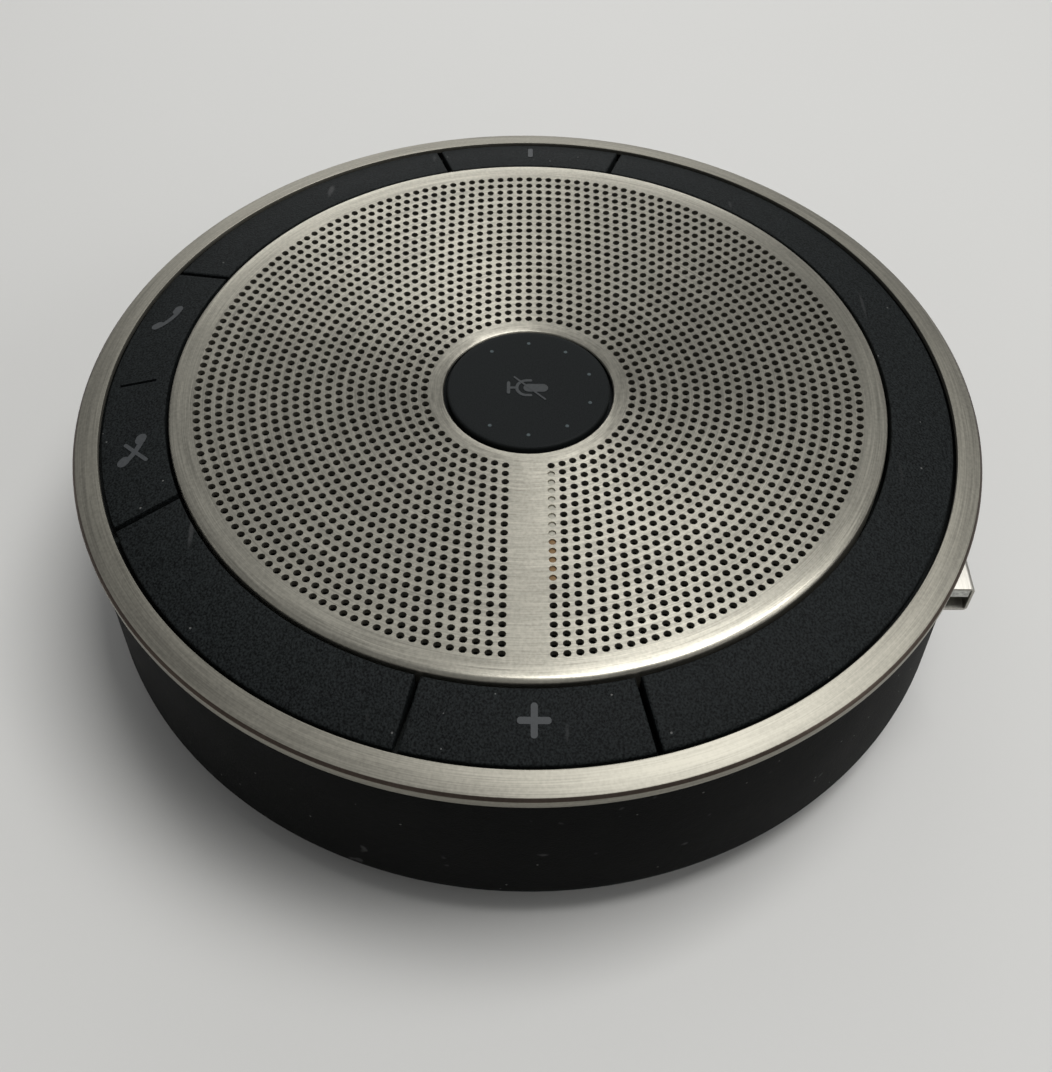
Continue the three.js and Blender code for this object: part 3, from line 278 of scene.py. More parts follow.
def steel_part(name, colour, rough):
    """Plated or stamped bright metal, with fine scratches along X."""
    finish = Finish(name, Metallic=1.0)
    stretch = {"Vector": finish.place, "Scale": (300.0, 5200.0, 5200.0)}
    lines = finish.node("ShaderNodeMapping", {}, stretch)
    scratches = finish.noise(1.0, 3.0, lines)
    cloud = finish.noise(240.0, 3.0)
    shade = finish.ramp(scratches * 0.5 + cloud * 0.5, 0.35, 0.65)
    finish.colour(finish.mix(shade, scaled(colour, 0.72), scaled(colour, 1.1)))
    finish.roughness(scratches * 0.15 + cloud * 0.16 + (rough - 0.12))
    finish.bump(scratches, 0.00001, 0.5)
    FINISHES[name] = finish.material


def woven(name, colour, thread):
    """Plain woven cloth, in threads per metre."""
    finish = Finish(name, Roughness=0.95)
    waves = []
    for direction in ("X", "Y"):
        settings = {"wave_type": "BANDS", "bands_direction": direction}
        inputs = {"Vector": finish.place, "Scale": thread}
        waves.append(finish.node("ShaderNodeTexWave", settings, inputs, "Fac"))
    weave = waves[0] * waves[1]
    finish.colour(finish.mix(weave, scaled(colour, 0.4), scaled(colour, 1.6)))
    finish.bump(weave, 0.00008)
    FINISHES[name] = finish.material


def make_finishes(looks):
    """All finishes, by the name of the record's material slot where there is one."""
    steel = tuple(looks.steel)
    brushed_steel("brushed_steel", scaled(steel, 0.96), 0.64, 0.34)
    brushed_steel("trim_steel", scaled(steel, 0.58), 0.38, 0.5)
    # A dark brown copy of the brushed steel: painted shade for the trim's outer band below
    # its crest.
    brushed_steel("painted_shade_steel", (0.10, 0.078, 0.064, 1.0), 0.3, 0.4)
    steel_part("bright_steel", (0.44, 0.425, 0.385, 1.0), 0.42)
    key = tuple(looks.keys)
    case = tuple(looks.casing)
    moulded("key_plastic", key, 0.56, 3800.0, 0.00012, 0.22, 0.05, 0.9)
    moulded("button_plastic", scaled(key, 0.9), 0.52, 6500.0, 0.00002, 0.03, 0.06, 0.4)
    moulded("case_plastic", scaled(case, 5), 0.6, 3600.0, 0.00004, 0.1, 0.1, 0.7)
    moulded("shell_plastic", case, 0.6, 4200.0, 0.00005, 0.3, 0.035, 0.9)
    moulded("rubber", scaled(case, 8), 0.85, 2600.0, 0.00006, 0.16, 0.1, 0.4)
    moulded("cable_sheath", scaled(case, 9), 0.55, 3000.0, 0.00003, 0.16, 0.15, 0.4)
    woven("mesh_cloth", (0.004, 0.004, 0.004, 1.0), 900.0)
    woven("spider_cloth", (0.42, 0.26, 0.08, 1.0), 500.0)
    moulded("board", (0.012, 0.07, 0.022, 1.0), 0.4, 900.0, 0.00003)
    moulded("chip_black", (0.012, 0.012, 0.012, 1.0), 0.5, 4000.0, 0.00001)
    moulded("light_plastic", (0.62, 0.62, 0.58, 1.0), 0.4, 2500.0, 0.00001)
    moulded("cone_paper", (0.03, 0.03, 0.031, 1.0), 0.85, 1400.0, 0.00008)
    steel_part("copper_wire", (0.62, 0.28, 0.14, 1.0), 0.4)
    moulded("ferrite", (0.045, 0.045, 0.048, 1.0), 0.6, 1500.0, 0.00005)
    for name, colour in (
        ("print_grey", (0.042, 0.045, 0.047, 1.0)),
        ("print_dim", (0.034, 0.037, 0.038, 1.0)),
        ("light_dot", (0.044, 0.057, 0.060, 1.0)),
        ("lens_milk", (0.33, 0.32, 0.27, 1.0)),
        ("lens_amber", (0.17, 0.105, 0.05, 1.0)),
    ):
        moulded(name, colour, 0.5, 3000.0, 0.000005, 0.0, 0.2, 0.12)


class SPEAKERPHONE_OT_finishes(bpy.types.Operator):
    """Makes the finishes that the pieces use"""

    bl_idname = "speakerphone.finishes"
    bl_label = "Finishes"

    def execute(self, context):
        make_finishes(context.scene.speakerphone)
        return {"FINISHED"}


# ---- Mesh helpers, in millimetres ----
def polar(radius, degrees):
    """The x and y of a point at a distance and angle from the middle."""
    angle = math.radians(degrees)
    return radius * math.cos(angle), radius * math.sin(angle)


def dish_height(radius):
    """Height of the grille's face, level near its edge and sinking to the middle."""
    level = GRILLE_OUTER - GRILLE_LEVEL_RIM
    share = min(radius / level, 1.0) ** DISH_POWER
    return BODY_HEIGHT - DISH_DEPTH * (1 - share)


def key_slope(radius):
    """Height of the keys' faces, which fall towards the edge."""
    share = (radius - KEY_INNER) / KEY_WIDTH
    return BODY_HEIGHT - KEY_INNER_DROP - KEY_FALL * share


def flat_radius(vertex):
    """A vertex's distance from the Z axis."""
    return math.hypot(vertex.co.x, vertex.co.y)


def spun(outline, steps=FINE_STEPS, start=0.0, sweep=360.0, closed=True):
    """Turns an outline of (radius, height) points about Z, as a closed surface."""
    bm = bmesh.new()
    verts = [bm.verts.new((radius, 0, height)) for radius, height in outline]
    edges = [bm.edges.new(pair) for pair in zip(verts, verts[1:])]
    if closed:
        edges.append(bm.edges.new((verts[-1], verts[0])))
    turn = Matrix.Rotation(math.radians(start), 3, "Z")
    bmesh.ops.rotate(bm, cent=(0, 0, 0), matrix=turn, verts=verts)
    bmesh.ops.spin(
        bm,
        geom=verts + edges,
        cent=(0, 0, 0),
        axis=(0, 0, 1),
        angle=math.radians(sweep),
        steps=steps,
        use_merge=sweep == 360.0,
    )
    bmesh.ops.remove_doubles(bm, verts=bm.verts, dist=1e-4)
    bmesh.ops.recalc_face_normals(bm, faces=bm.faces)
    return bm


def soften_rings(bm, corners, offset, segments=2):
    """Bevels the circles that run through the given (radius, height) corners."""

    def on_corner(vertex):
        return any(
            abs(flat_radius(vertex) - radius) < 1e-3 and abs(vertex.co.z - height) < 1e-3
            for radius, height in corners
        )

    edges = [
        edge
        for edge in bm.edges
        if all(map(on_corner, edge.verts))
        and abs(edge.verts[0].co.z - edge.verts[1].co.z) < 1e-3
    ]
    bevel(bm, edges, offset, segments)


def bevel(bm, edges, offset, segments=2):
    bmesh.ops.bevel(
        bm,
        geom=edges,
        offset=offset,
        segments=segments,
        profile=0.5,
        affect="EDGES",
        material=-1,
        clamp_overlap=True,
    )


def cut_flat(bm, point, normal):
    """Cuts away what lies beyond a plane and closes the cut."""
    geom = bm.verts[:] + bm.edges[:] + bm.faces[:]
    bmesh.ops.bisect_plane(
        bm, geom=geom, dist=1e-5, plane_co=point, plane_no=normal, clear_outer=True
    )
    edges = [edge for edge in bm.edges if edge.is_boundary]
    bmesh.ops.holes_fill(bm, edges=edges, sides=0)


def block(bm, low, high):
    """A box between two corners; gives its vertices."""
    low, high = Vector(low), Vector(high)
    size = Matrix.Diagonal((high - low).to_4d())
    size[3][3] = 1.0
    place = Matrix.Translation((low + high) / 2) @ size
    return bmesh.ops.create_cube(bm, size=1.0, matrix=place)["verts"]


def upright_rod(bm, x, y, low, high, radius, segments):
    """A round rod between two heights; gives its vertices."""
    made = bmesh.ops.create_cone(
        bm,
        cap_ends=True,
        segments=segments,
        radius1=radius,
        radius2=radius,
        depth=high - low,
        matrix=Matrix.Translation((x, y, (low + high) / 2)),
    )
    return made["verts"]


def as_mesh(bm, name):
    """A mesh with the shape, which is used up."""
    mesh = bpy.data.meshes.new(name)
    bm.to_mesh(mesh)
    bm.free()
    return mesh


def join(bm, other):
    """Adds another shape, which is used up."""
    mesh = as_mesh(other, "joined")
    bm.from_mesh(mesh)
    bpy.data.meshes.remove(mesh)


def finish_piece(bm, name, looks, body, nodes=(), crease=30.0):
    """Makes a named piece in metres that rides on a body and stands for CAD nodes."""
    bmesh.ops.scale(bm, vec=(MM, MM, MM), verts=bm.verts)
    place_mesh(as_mesh(bm, name), name, looks, body, nodes, crease)


def place_mesh(mesh, name, looks, body, nodes, crease):
    """Smooths a mesh, gives it its looks and puts it on its body."""
    mesh.polygons.foreach_set("use_smooth", [True] * len(mesh.polygons))
    mesh.set_sharp_from_angle(angle=math.radians(crease))
    for look in [looks] if isinstance(looks, str) else looks:
        mesh.materials.append(FINISHES[look])
    piece = bpy.data.objects.new(name, mesh)
    bpy.context.scene.collection.objects.link(piece)
    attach(piece, body)
    if nodes:
        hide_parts(*nodes)


def less(bm, cutters):
    """The shape with each cutter's shape taken out of it."""
    made = []
    for shape in (bm, *cutters):
        made.append(bpy.data.objects.new("cut", as_mesh(shape, "cut")))
        bpy.context.scene.collection.objects.link(made[-1])
    for cutter in made[1:]:
        modifier = made[0].modifiers.new("cut", "BOOLEAN")
        modifier.operation = "DIFFERENCE"
        modifier.solver = "EXACT"
        modifier.object = cutter
    bpy.context.view_layer.update()
    graph = bpy.context.evaluated_depsgraph_get()
    result = bpy.data.meshes.new_from_object(made[0].evaluated_get(graph))
    for thing in made:
        bpy.data.objects.remove(thing)
    cut = bmesh.new()
    cut.from_mesh(result)
    bpy.data.meshes.remove(result)
    return cut


# ---- Flat symbols, each shape a hair above the ones drawn before it ----
LAYER = 1e-4
ARC_STEPS = 24


def bar(bm, start, end, width):
    """A flat bar with rounded ends between two points."""
    start, end = Vector(start), Vector(end)
    height = LAYER * len(bm.verts)
    made = bmesh.ops.create_circle(
        bm, cap_ends=True, segments=ARC_STEPS, radius=width / 2
    )
    verts = made["verts"]
    half_step = Matrix.Rotation(math.pi / ARC_STEPS, 3, "Z")
    bmesh.ops.rotate(bm, cent=(0, 0, 0), matrix=half_step, verts=verts)
    reach = (end - start).length / 2 - width / 2
    for vertex in verts:
        vertex.co.x += math.copysign(reach, vertex.co.x)
    direction = end - start
    turn = Matrix.Rotation(math.atan2(direction.y, direction.x), 3, "Z")
    bmesh.ops.rotate(bm, cent=(0, 0, 0), matrix=turn, verts=verts)
    middle = (start + end) / 2
    bmesh.ops.translate(bm, vec=(middle.x, middle.y, height), verts=verts)


def band(bm, centre, radius, width, start, sweep):
    """A flat band along an arc."""
    height = LAYER * len(bm.verts)
    reach = (radius - width / 2, radius + width / 2)
    ends = [bm.verts.new((*polar(away, start), height)) for away in reach]
    edge = bm.edges.new(ends)
    bmesh.ops.translate(bm, vec=(*centre, 0), verts=ends)
    bmesh.ops.spin(
        bm,
        geom=ends + [edge],
        cent=(*centre, 0),
        axis=(0, 0, 1),
        angle=math.radians(sweep),
        steps=ARC_STEPS,
    )


def handset(bm, first, last, middle, lobe, waist):
    """A telephone handset that curves through its middle, with a lobe at each end."""
    first, last, middle = Vector(first), Vector(last), Vector(middle)
    rise = middle - (first + last) / 2
    half = (last - first).length / 2
    radius = (half * half + rise.length_squared) / (2 * rise.length)
    centre = middle - rise.normalized() * radius
    reach = math.degrees(math.asin(half / radius))
    heading = math.degrees(math.atan2(rise.y, rise.x))
    band(bm, centre, radius, waist, heading - reach * 0.8, 1.6 * reach)
    for side in (-1, 1):
        tip = centre + Vector(polar(radius - 0.25, heading + side * reach))
        neck = centre + Vector(polar(radius - 0.2, heading + side * reach * 0.38))
        bar(bm, neck, tip, lobe)


def printed(bm, name, body, slope, look="print_grey", lift=0.05):
    """Gives flat shapes a thickness and lays them on a sloping face."""
    bmesh.ops.recalc_face_normals(bm, faces=bm.faces)
    for face in bm.faces:
        if face.normal.z < 0:
            face.normal_flip()
    made = bmesh.ops.extrude_face_region(bm, geom=bm.faces[:], use_keep_orig=True)
    verts = [item for item in made["geom"] if isinstance(item, bmesh.types.BMVert)]
    bmesh.ops.translate(bm, vec=(0, 0, 2 * lift), verts=verts)
    for vertex in bm.verts:
        vertex.co.z += slope(flat_radius(vertex)) - lift
    bmesh.ops.recalc_face_normals(bm, faces=bm.faces)
    finish_piece(bm, name, look, body)


# ---- Grille ----
def hole_lattice(bm):
    """Triangles whose rings of vertices stand where the grille's holes go."""
    rings = {}
    for k in range(FIRST_HOLE_RING - 1, LAST_HOLE_RING + 2):
        radius = RING_PITCH * k - RING_START
        rings[k] = [bm.verts.new((*polar(radius, 60 * i / k), 0)) for i in range(6 * k)]
    for k in range(FIRST_HOLE_RING - 1, LAST_HOLE_RING + 1):
        inner, outer = rings[k], rings[k + 1]
        for sector in range(6):
            for j in range(k + 1):
                a = inner[(sector * k + j) % len(inner)]
                b = outer[(sector * (k + 1) + j) % len(outer)]
                c = outer[(sector * (k + 1) + j + 1) % len(outer)]
                bm.faces.new((a, b, c))
                if j < k:
                    bm.faces.new((a, c, inner[(sector * k + j + 1) % len(inner)]))
    return rings


def punch(bm, corners, radius):
    """Opens a round hole at each of the given vertices."""
    centres = KDTree(len(corners))
    for index, vertex in enumerate(corners):
        centres.insert(vertex.co, index)
    centres.balance()
    places = [vertex.co.copy() for vertex in corners]
    made = bmesh.ops.bevel(
        bm,
        geom=corners,
        offset=radius,
        offset_type="OFFSET",
        segments=1,
        profile=0.5,
        affect="VERTICES",
        material=-1,
    )
    if len(made["faces"]) != len(places):
        raise RuntimeError("the grille's holes were not all opened")
    bmesh.ops.delete(bm, geom=made["faces"], context="FACES_ONLY")
    near = radius * 1.2
    rims = [e for e in bm.edges if e.is_boundary and e.calc_length() < near]
    bmesh.ops.subdivide_edges(bm, edges=rims, cuts=1)
    groups = [[] for _ in places]
    for vertex in bm.verts:
        if vertex.is_boundary:
            _, index, distance = centres.find(vertex.co)
            if distance < near:
                groups[index].append(vertex)
    for centre, group in zip(places, groups):
        arms = sorted((math.atan2(*(v.co - centre).yx), v.index, v) for v in group)
        step = 2 * math.pi / len(arms)
        turn = sum(arm[0] - i * step for i, arm in enumerate(arms)) / len(arms)
        for i, (_, _, vertex) in enumerate(arms):
            vertex.co.xy = centre.xy + radius * Vector(
                (math.cos(turn + i * step), math.sin(turn + i * step))
            )


def carry_rim(bm, rim, stops):
    """Draws a circular border on through (radius, height) stops."""
    for radius, height in stops:
        made = bmesh.ops.extrude_edge_only(bm, edges=rim)["geom"]
        for vertex in (item for item in made if isinstance(item, bmesh.types.BMVert)):
            vertex.co.xy = vertex.co.xy.normalized() * radius
            vertex.co.z = height
        rim = [item for item in made if isinstance(item, bmesh.types.BMEdge)]
        rim = [edge for edge in rim if edge.is_boundary]


def border(bm, low, high):
    """Boundary edges between two radii."""
    return [
        edge
        for edge in bm.edges
        if edge.is_boundary and all(low < flat_radius(v) < high for v in edge.verts)
    ]


class SPEAKERPHONE_OT_grille(bpy.types.Operator):
    """Makes the perforated steel sheet over the loudspeaker"""

    bl_idname = "speakerphone.grille"
    bl_label = "Grille"

    def execute(self, context):
        sizes = context.scene.speakerphone
        bm = bmesh.new()
        rings = hole_lattice(bm)
        corners = [
            vertex
            for k in range(FIRST_HOLE_RING, LAST_HOLE_RING + 1)
            for i, vertex in enumerate(rings[k])
            if i not in STRIP_COLUMNS and i - len(rings[k]) not in STRIP_COLUMNS
        ]
        punch(bm, corners, sizes.hole_diameter / MM / 2)
        for vertex in bm.verts:
            vertex.co.z = dish_height(flat_radius(vertex))
        outer = border(bm, GRILLE_OUTER - 2.5, GRILLE_OUTER)
        edge = dish_height(GRILLE_HOLE)
        within = GRILLE_HOLE + 1.6
        for out, down in ((0.4, 0.0), (0.12, 0.06), (0.0, 0.22), (0.0, 0.4)):
            carry_rim(bm, border(bm, 0, within), [(GRILLE_HOLE + out, edge - down)])
        roll = 0.75  # radius of the rolled outer edge
        centre = GRILLE_OUTER - roll
        stops = [(centre - 0.6, BODY_HEIGHT)]
        for degrees in range(90, -1, -15):
            across, up = polar(roll, degrees)
            stops.append((centre + across, BODY_HEIGHT - roll + up))
        stops.append((GRILLE_OUTER, node_span("speaker_grille", 2)[0]))
        carry_rim(bm, outer, stops)
        bmesh.ops.recalc_face_normals(bm, faces=bm.faces)
        bmesh.ops.solidify(bm, geom=bm.faces[:], thickness=SHEET)
        highest = max(vertex.co.z for vertex in bm.verts)
        if highest > BODY_HEIGHT + 1e-3:
            raise RuntimeError(f"the grille rises to {highest:.3f} mm")
        steel = "brushed_steel"
        nodes = ["speaker_grille"]
        finish_piece(bm, "grille_sheet", steel, "chassis", nodes, 35.0)
        return {"FINISHED"}


class SPEAKERPHONE_OT_lenses(bpy.types.Operator):
    """Makes the light pins that stand in one column of the grille's holes"""

    bl_idname = "speakerphone.lenses"
    bl_label = "Indicator lenses"

    def execute(self, context):
        gap, sunk = 0.02, 0.22  # round a lens, and above it to the grille's face
        radius = context.scene.speakerphone.hole_diameter / MM / 2 - gap
        foot = node_span("indicator_guide", 2)[0]
        for name, look, first, last in (
            ("indicator_lenses", "lens_milk", 11, 18),
            ("indicator_lenses_amber", "lens_amber", 19, 23),
        ):
            bm = bmesh.new()
            for k in range(first, last + 1):
                away = RING_PITCH * k - RING_START
                x, y = polar(away, 120 / k)
                top = dish_height(away) - sunk
                verts = upright_rod(bm, x, y, foot, top, radius, 12)
                rim = {
                    edge
                    for vertex in verts
                    for edge in vertex.link_edges
                    if all(v.co.z > top - 1e-3 for v in edge.verts)
                }
                bevel(bm, list(rim), 0.12)
            finish_piece(
                bm, name, look, "chassis", ["indicator_guide"]
            )
        return {"FINISHED"}


# ---- Ring round the grille ----
class SPEAKERPHONE_OT_trim(bpy.types.Operator):
    """Makes the steel trim ring, with painted shade on the outer band below its crest"""

    bl_idname = "speakerphone.trim"
    bl_label = "Trim ring"

    def execute(self, context):
        inner_top = BODY_HEIGHT - 2.5
        crest = BODY_HEIGHT - 3.25
        side = BODY_HEIGHT - 3.6
        crest_radius = TRIM_OUTER - 0.35
        sheet = 0.8
        outline = [
            (TRIM_INNER, inner_top - sheet),
            (TRIM_OUTER - sheet, crest - sheet),
            (TRIM_OUTER - sheet, TRIM_LOW),
            (TRIM_OUTER, TRIM_LOW),
            (TRIM_OUTER, side),
            (crest_radius, crest),
            (TRIM_INNER, inner_top),
        ]
        bm = spun(outline, 320)
        # The outer band from the side up to the crest gets the dark brown copy of the
        # steel, as painted shade.
        for face in bm.faces:
            middle = face.calc_center_median()
            outside = math.hypot(*middle.xy) > TRIM_OUTER - 0.5
            if outside and side < middle.z < crest:
                face.material_index = 1
        soften_rings(bm, [(TRIM_INNER, inner_top), (TRIM_OUTER, TRIM_LOW)], 0.14, 3)
        soften_rings(bm, [(TRIM_OUTER, side), (crest_radius, crest)], 0.07, 2)
        looks = ["trim_steel", "painted_shade_steel"]
        finish_piece(bm, "trim_band", looks, "chassis", ["trim_ring"])
        return {"FINISHED"}


FOOTING_BITE = 0.3  # how far a post or footing runs up into its pad
SEAM = 0.7  # width of the gap between two pads


def ring_pad(start, end):
    """A pad of the key ring between two angles, with parallel seams at its ends."""
    outline = [
        (KEY_INNER, KEY_UNDERSIDE),
        (KEY_OUTER, KEY_UNDERSIDE),
        (KEY_OUTER, key_slope(KEY_OUTER)),
        (KEY_INNER, key_slope(KEY_INNER)),
    ]
    spare = 3  # degrees past each end, for the cuts to take away
    sweep = end - start + 2 * spare
    bm = spun(outline, round(sweep * 0.8), start - spare, sweep)
    for angle, side in ((start, 1), (end, -1)):
        normal = Vector((*polar(1, angle + 90), 0)) * -side
        cut_flat(bm, -normal * SEAM / 2, normal)
    bmesh.ops.recalc_face_normals(bm, faces=bm.faces)
    return bm


def soften_pad(bm):
    """Rounds the upper edges of a key pad."""

    def on_edge(edge):
        high = all(v.co.z > key_slope(flat_radius(v)) - 0.1 for v in edge.verts)
        return high and edge.calc_face_angle(0) > math.radians(40)

    bevel(bm, [edge for edge in bm.edges if on_edge(edge)], 0.3, 3)


def add_post(bm, angle):
    """The post under a key that reaches its switch."""
    radius = sum(node_span("key_board_up", 0)) / 2
    low, high = node_span("volume_up_key", 2)[0], KEY_UNDERSIDE + FOOTING_BITE
    upright_rod(bm, *polar(radius, angle), low, high, 1.2, 24)


def add_footing(bm, start, end):
    """The footing that holds a fixed pad up from the deck."""
    low, high = node_span("left_ring_cover", 2)[0], KEY_UNDERSIDE + FOOTING_BITE
    inset = 1.5
    inner, outer = KEY_INNER + inset, KEY_OUTER - inset
    section = [(inner, low), (outer, low), (outer, high), (inner, high)]
    lag = 2.0  # degrees from a pad's end to its footing's
    sweep = end - start - 2 * lag
    footing = spun(section, round(sweep / 3), start + lag, sweep)
    bmesh.ops.holes_fill(
        footing, edges=[edge for edge in footing.edges if edge.is_boundary], sides=0
    )
    bmesh.ops.recalc_face_normals(footing, faces=footing.faces)
    join(bm, footing)


def sink_groove(bm, angle, inner, outer, width, depth):
    """Sinks a narrow radial groove into a pad's face."""
    out = Vector((*polar(1, angle), 0))
    side = Vector((*polar(1, angle + 90), 0))
    for point, normal in (
        (side * width / 2, side),
        (side * -width / 2, side),
        (out * inner, out),
        (out * outer, out),
    ):
        near = [
            face
            for face in bm.faces
            if face.normal.z > 0.9 and face.calc_center_median().dot(out) > inner - 2
        ]
        geom = {v for f in near for v in f.verts} | {e for f in near for e in f.edges}
        bmesh.ops.bisect_plane(
            bm, geom=near + list(geom), dist=1e-5, plane_co=point, plane_no=normal
        )
    floor = [
        face
        for face in bm.faces
        if face.normal.z > 0.9
        and abs(face.calc_center_median().dot(side)) < width / 2
        and inner < face.calc_center_median().dot(out) < outer
    ]
    made = bmesh.ops.extrude_face_region(bm, geom=floor)["geom"]
    verts = [item for item in made if isinstance(item, bmesh.types.BMVert)]
    bmesh.ops.translate(bm, vec=(0, 0, -depth), verts=verts)
    bmesh.ops.delete(
        bm, geom=[face for face in floor if face.is_valid], context="FACES_ONLY"
    )


class SPEAKERPHONE_OT_keys(bpy.types.Operator):
    """Makes the press keys and the fixed pads between them"""

    bl_idname = "speakerphone.keys"
    bl_label = "Keys and pads"

    def execute(self, context):
        for name, start, end, body, node, posts in (
            ("volume_up_pad", -14.9, 14.9, "volume_up", "volume_up_key", [0]),
            ("volume_down_pad", 165.1, 194.9, "volume_down", "volume_down_key", [180]),
            ("call_pad", 244.7, 295.3, "call", "call_key", [257, 283]),
            ("rear_pad", 14.9, 165.1, "chassis", "rear_ring_cover", []),
            ("left_pad", 194.9, 244.7, "chassis", "left_ring_cover", []),
            ("right_pad", 295.3, 345.1, "chassis", "right_ring_cover", []),
        ):
            bm = ring_pad(start, end)
            if name == "call_pad":
                sink_groove(bm, 269.7, KEY_OUTER - 6.45, KEY_OUTER - 1.3, 0.5, 0.35)
            soften_pad(bm)
            for angle in posts:
                add_post(bm, angle)
            if not posts:
                add_footing(bm, start, end)
            finish_piece(bm, name, "key_plastic", body, [node])
        return {"FINISHED"}


class SPEAKERPHONE_OT_symbols(bpy.types.Operator):
    """Makes the printed plus, minus, answer and end symbols"""

    bl_idname = "speakerphone.symbols"
    bl_label = "Key symbols"

    def execute(self, context):
        bm = bmesh.new()
        centre = Vector(polar(51.2, 0.8))
        width = 0.79
        bar(bm, centre - Vector((1.95, 0)), centre + Vector((1.95, 0)), width)
        bar(bm, centre - Vector((0, 1.9)), centre + Vector((0, 1.9)), width)
        printed(bm, "volume_up_symbol", "volume_up", key_slope)
        bm = bmesh.new()
        bar(bm, polar(51.05, 179.8), polar(54.55, 179.8), 0.75)
        printed(bm, "volume_down_symbol", "volume_down", key_slope)
        bm = bmesh.new()
        handset(bm, (-15.25, -48.65), (-11.2, -52.45), (-12.7, -49.95), 1.3, 0.75)
        printed(bm, "answer_symbol", "call", key_slope)
        bm = bmesh.new()
        handset(bm, (9.75, -48.8), (14.1, -52.4), (12.15, -50.15), 1.45, 0.75)
        bar(bm, (10.7, -51.9), (14.0, -48.2), 0.5)
        printed(bm, "end_symbol", "call", key_slope)
        return {"FINISHED"}


class SPEAKERPHONE_OT_mute(bpy.types.Operator):
    """Makes the mute button, its symbol and its ring of small lights"""

    bl_idname = "speakerphone.mute"
    bl_label = "Mute button"

    def execute(self, context):
        radius = 10.9
        flange = node_span("mute_button", 0)[1]
        low = node_span("mute_button", 2)[0]
        flange_top = low + 0.7
        outline = [
            (0, low),
            (flange, low),
            (flange, flange_top),
            (radius, flange_top),
            (radius, MUTE_TOP),
            (radius - 0.8, MUTE_TOP),
            (radius / 2, MUTE_TOP - 0.02),
            (0, MUTE_TOP - 0.03),
        ]
        bm = spun(outline, 144, closed=False)
        soften_rings(bm, [(radius, MUTE_TOP)], 0.3, 4)
        finish_piece(
            bm, "mute_cap", "button_plastic", "mute", ["mute_button"]
        )

        def level(_):
            return MUTE_TOP - 0.02

        bm = bmesh.new()
        bar(bm, (0, -0.69), (0, 2.61), 1.46)
        band(bm, (0, -0.19), 1.38, 0.42, 180, 180)
        for side in (-1.38, 1.38):
            bar(bm, (side, -0.4), (side, 0.49), 0.42)
        bar(bm, (0, -1.5), (0, -2.75), 0.42)
        bar(bm, (-1.15, -2.68), (1.15, -2.68), 0.46)
        bar(bm, (-2.1, -2.0), (2.2, 2.3), 0.26)
        printed(bm, "mute_symbol", "mute", level, "print_dim", 0.035)
        bm = bmesh.new()
        for angle in (0, 36, 72, 108, 144, 180, 216, 324):
            place = Matrix.Translation((*polar(8.58, angle), 0))
            bmesh.ops.create_circle(
                bm, cap_ends=True, segments=16, radius=0.25, matrix=place
            )
        printed(bm, "mute_dots", "mute", level, "light_dot", 0.035)
        return {"FINISHED"}


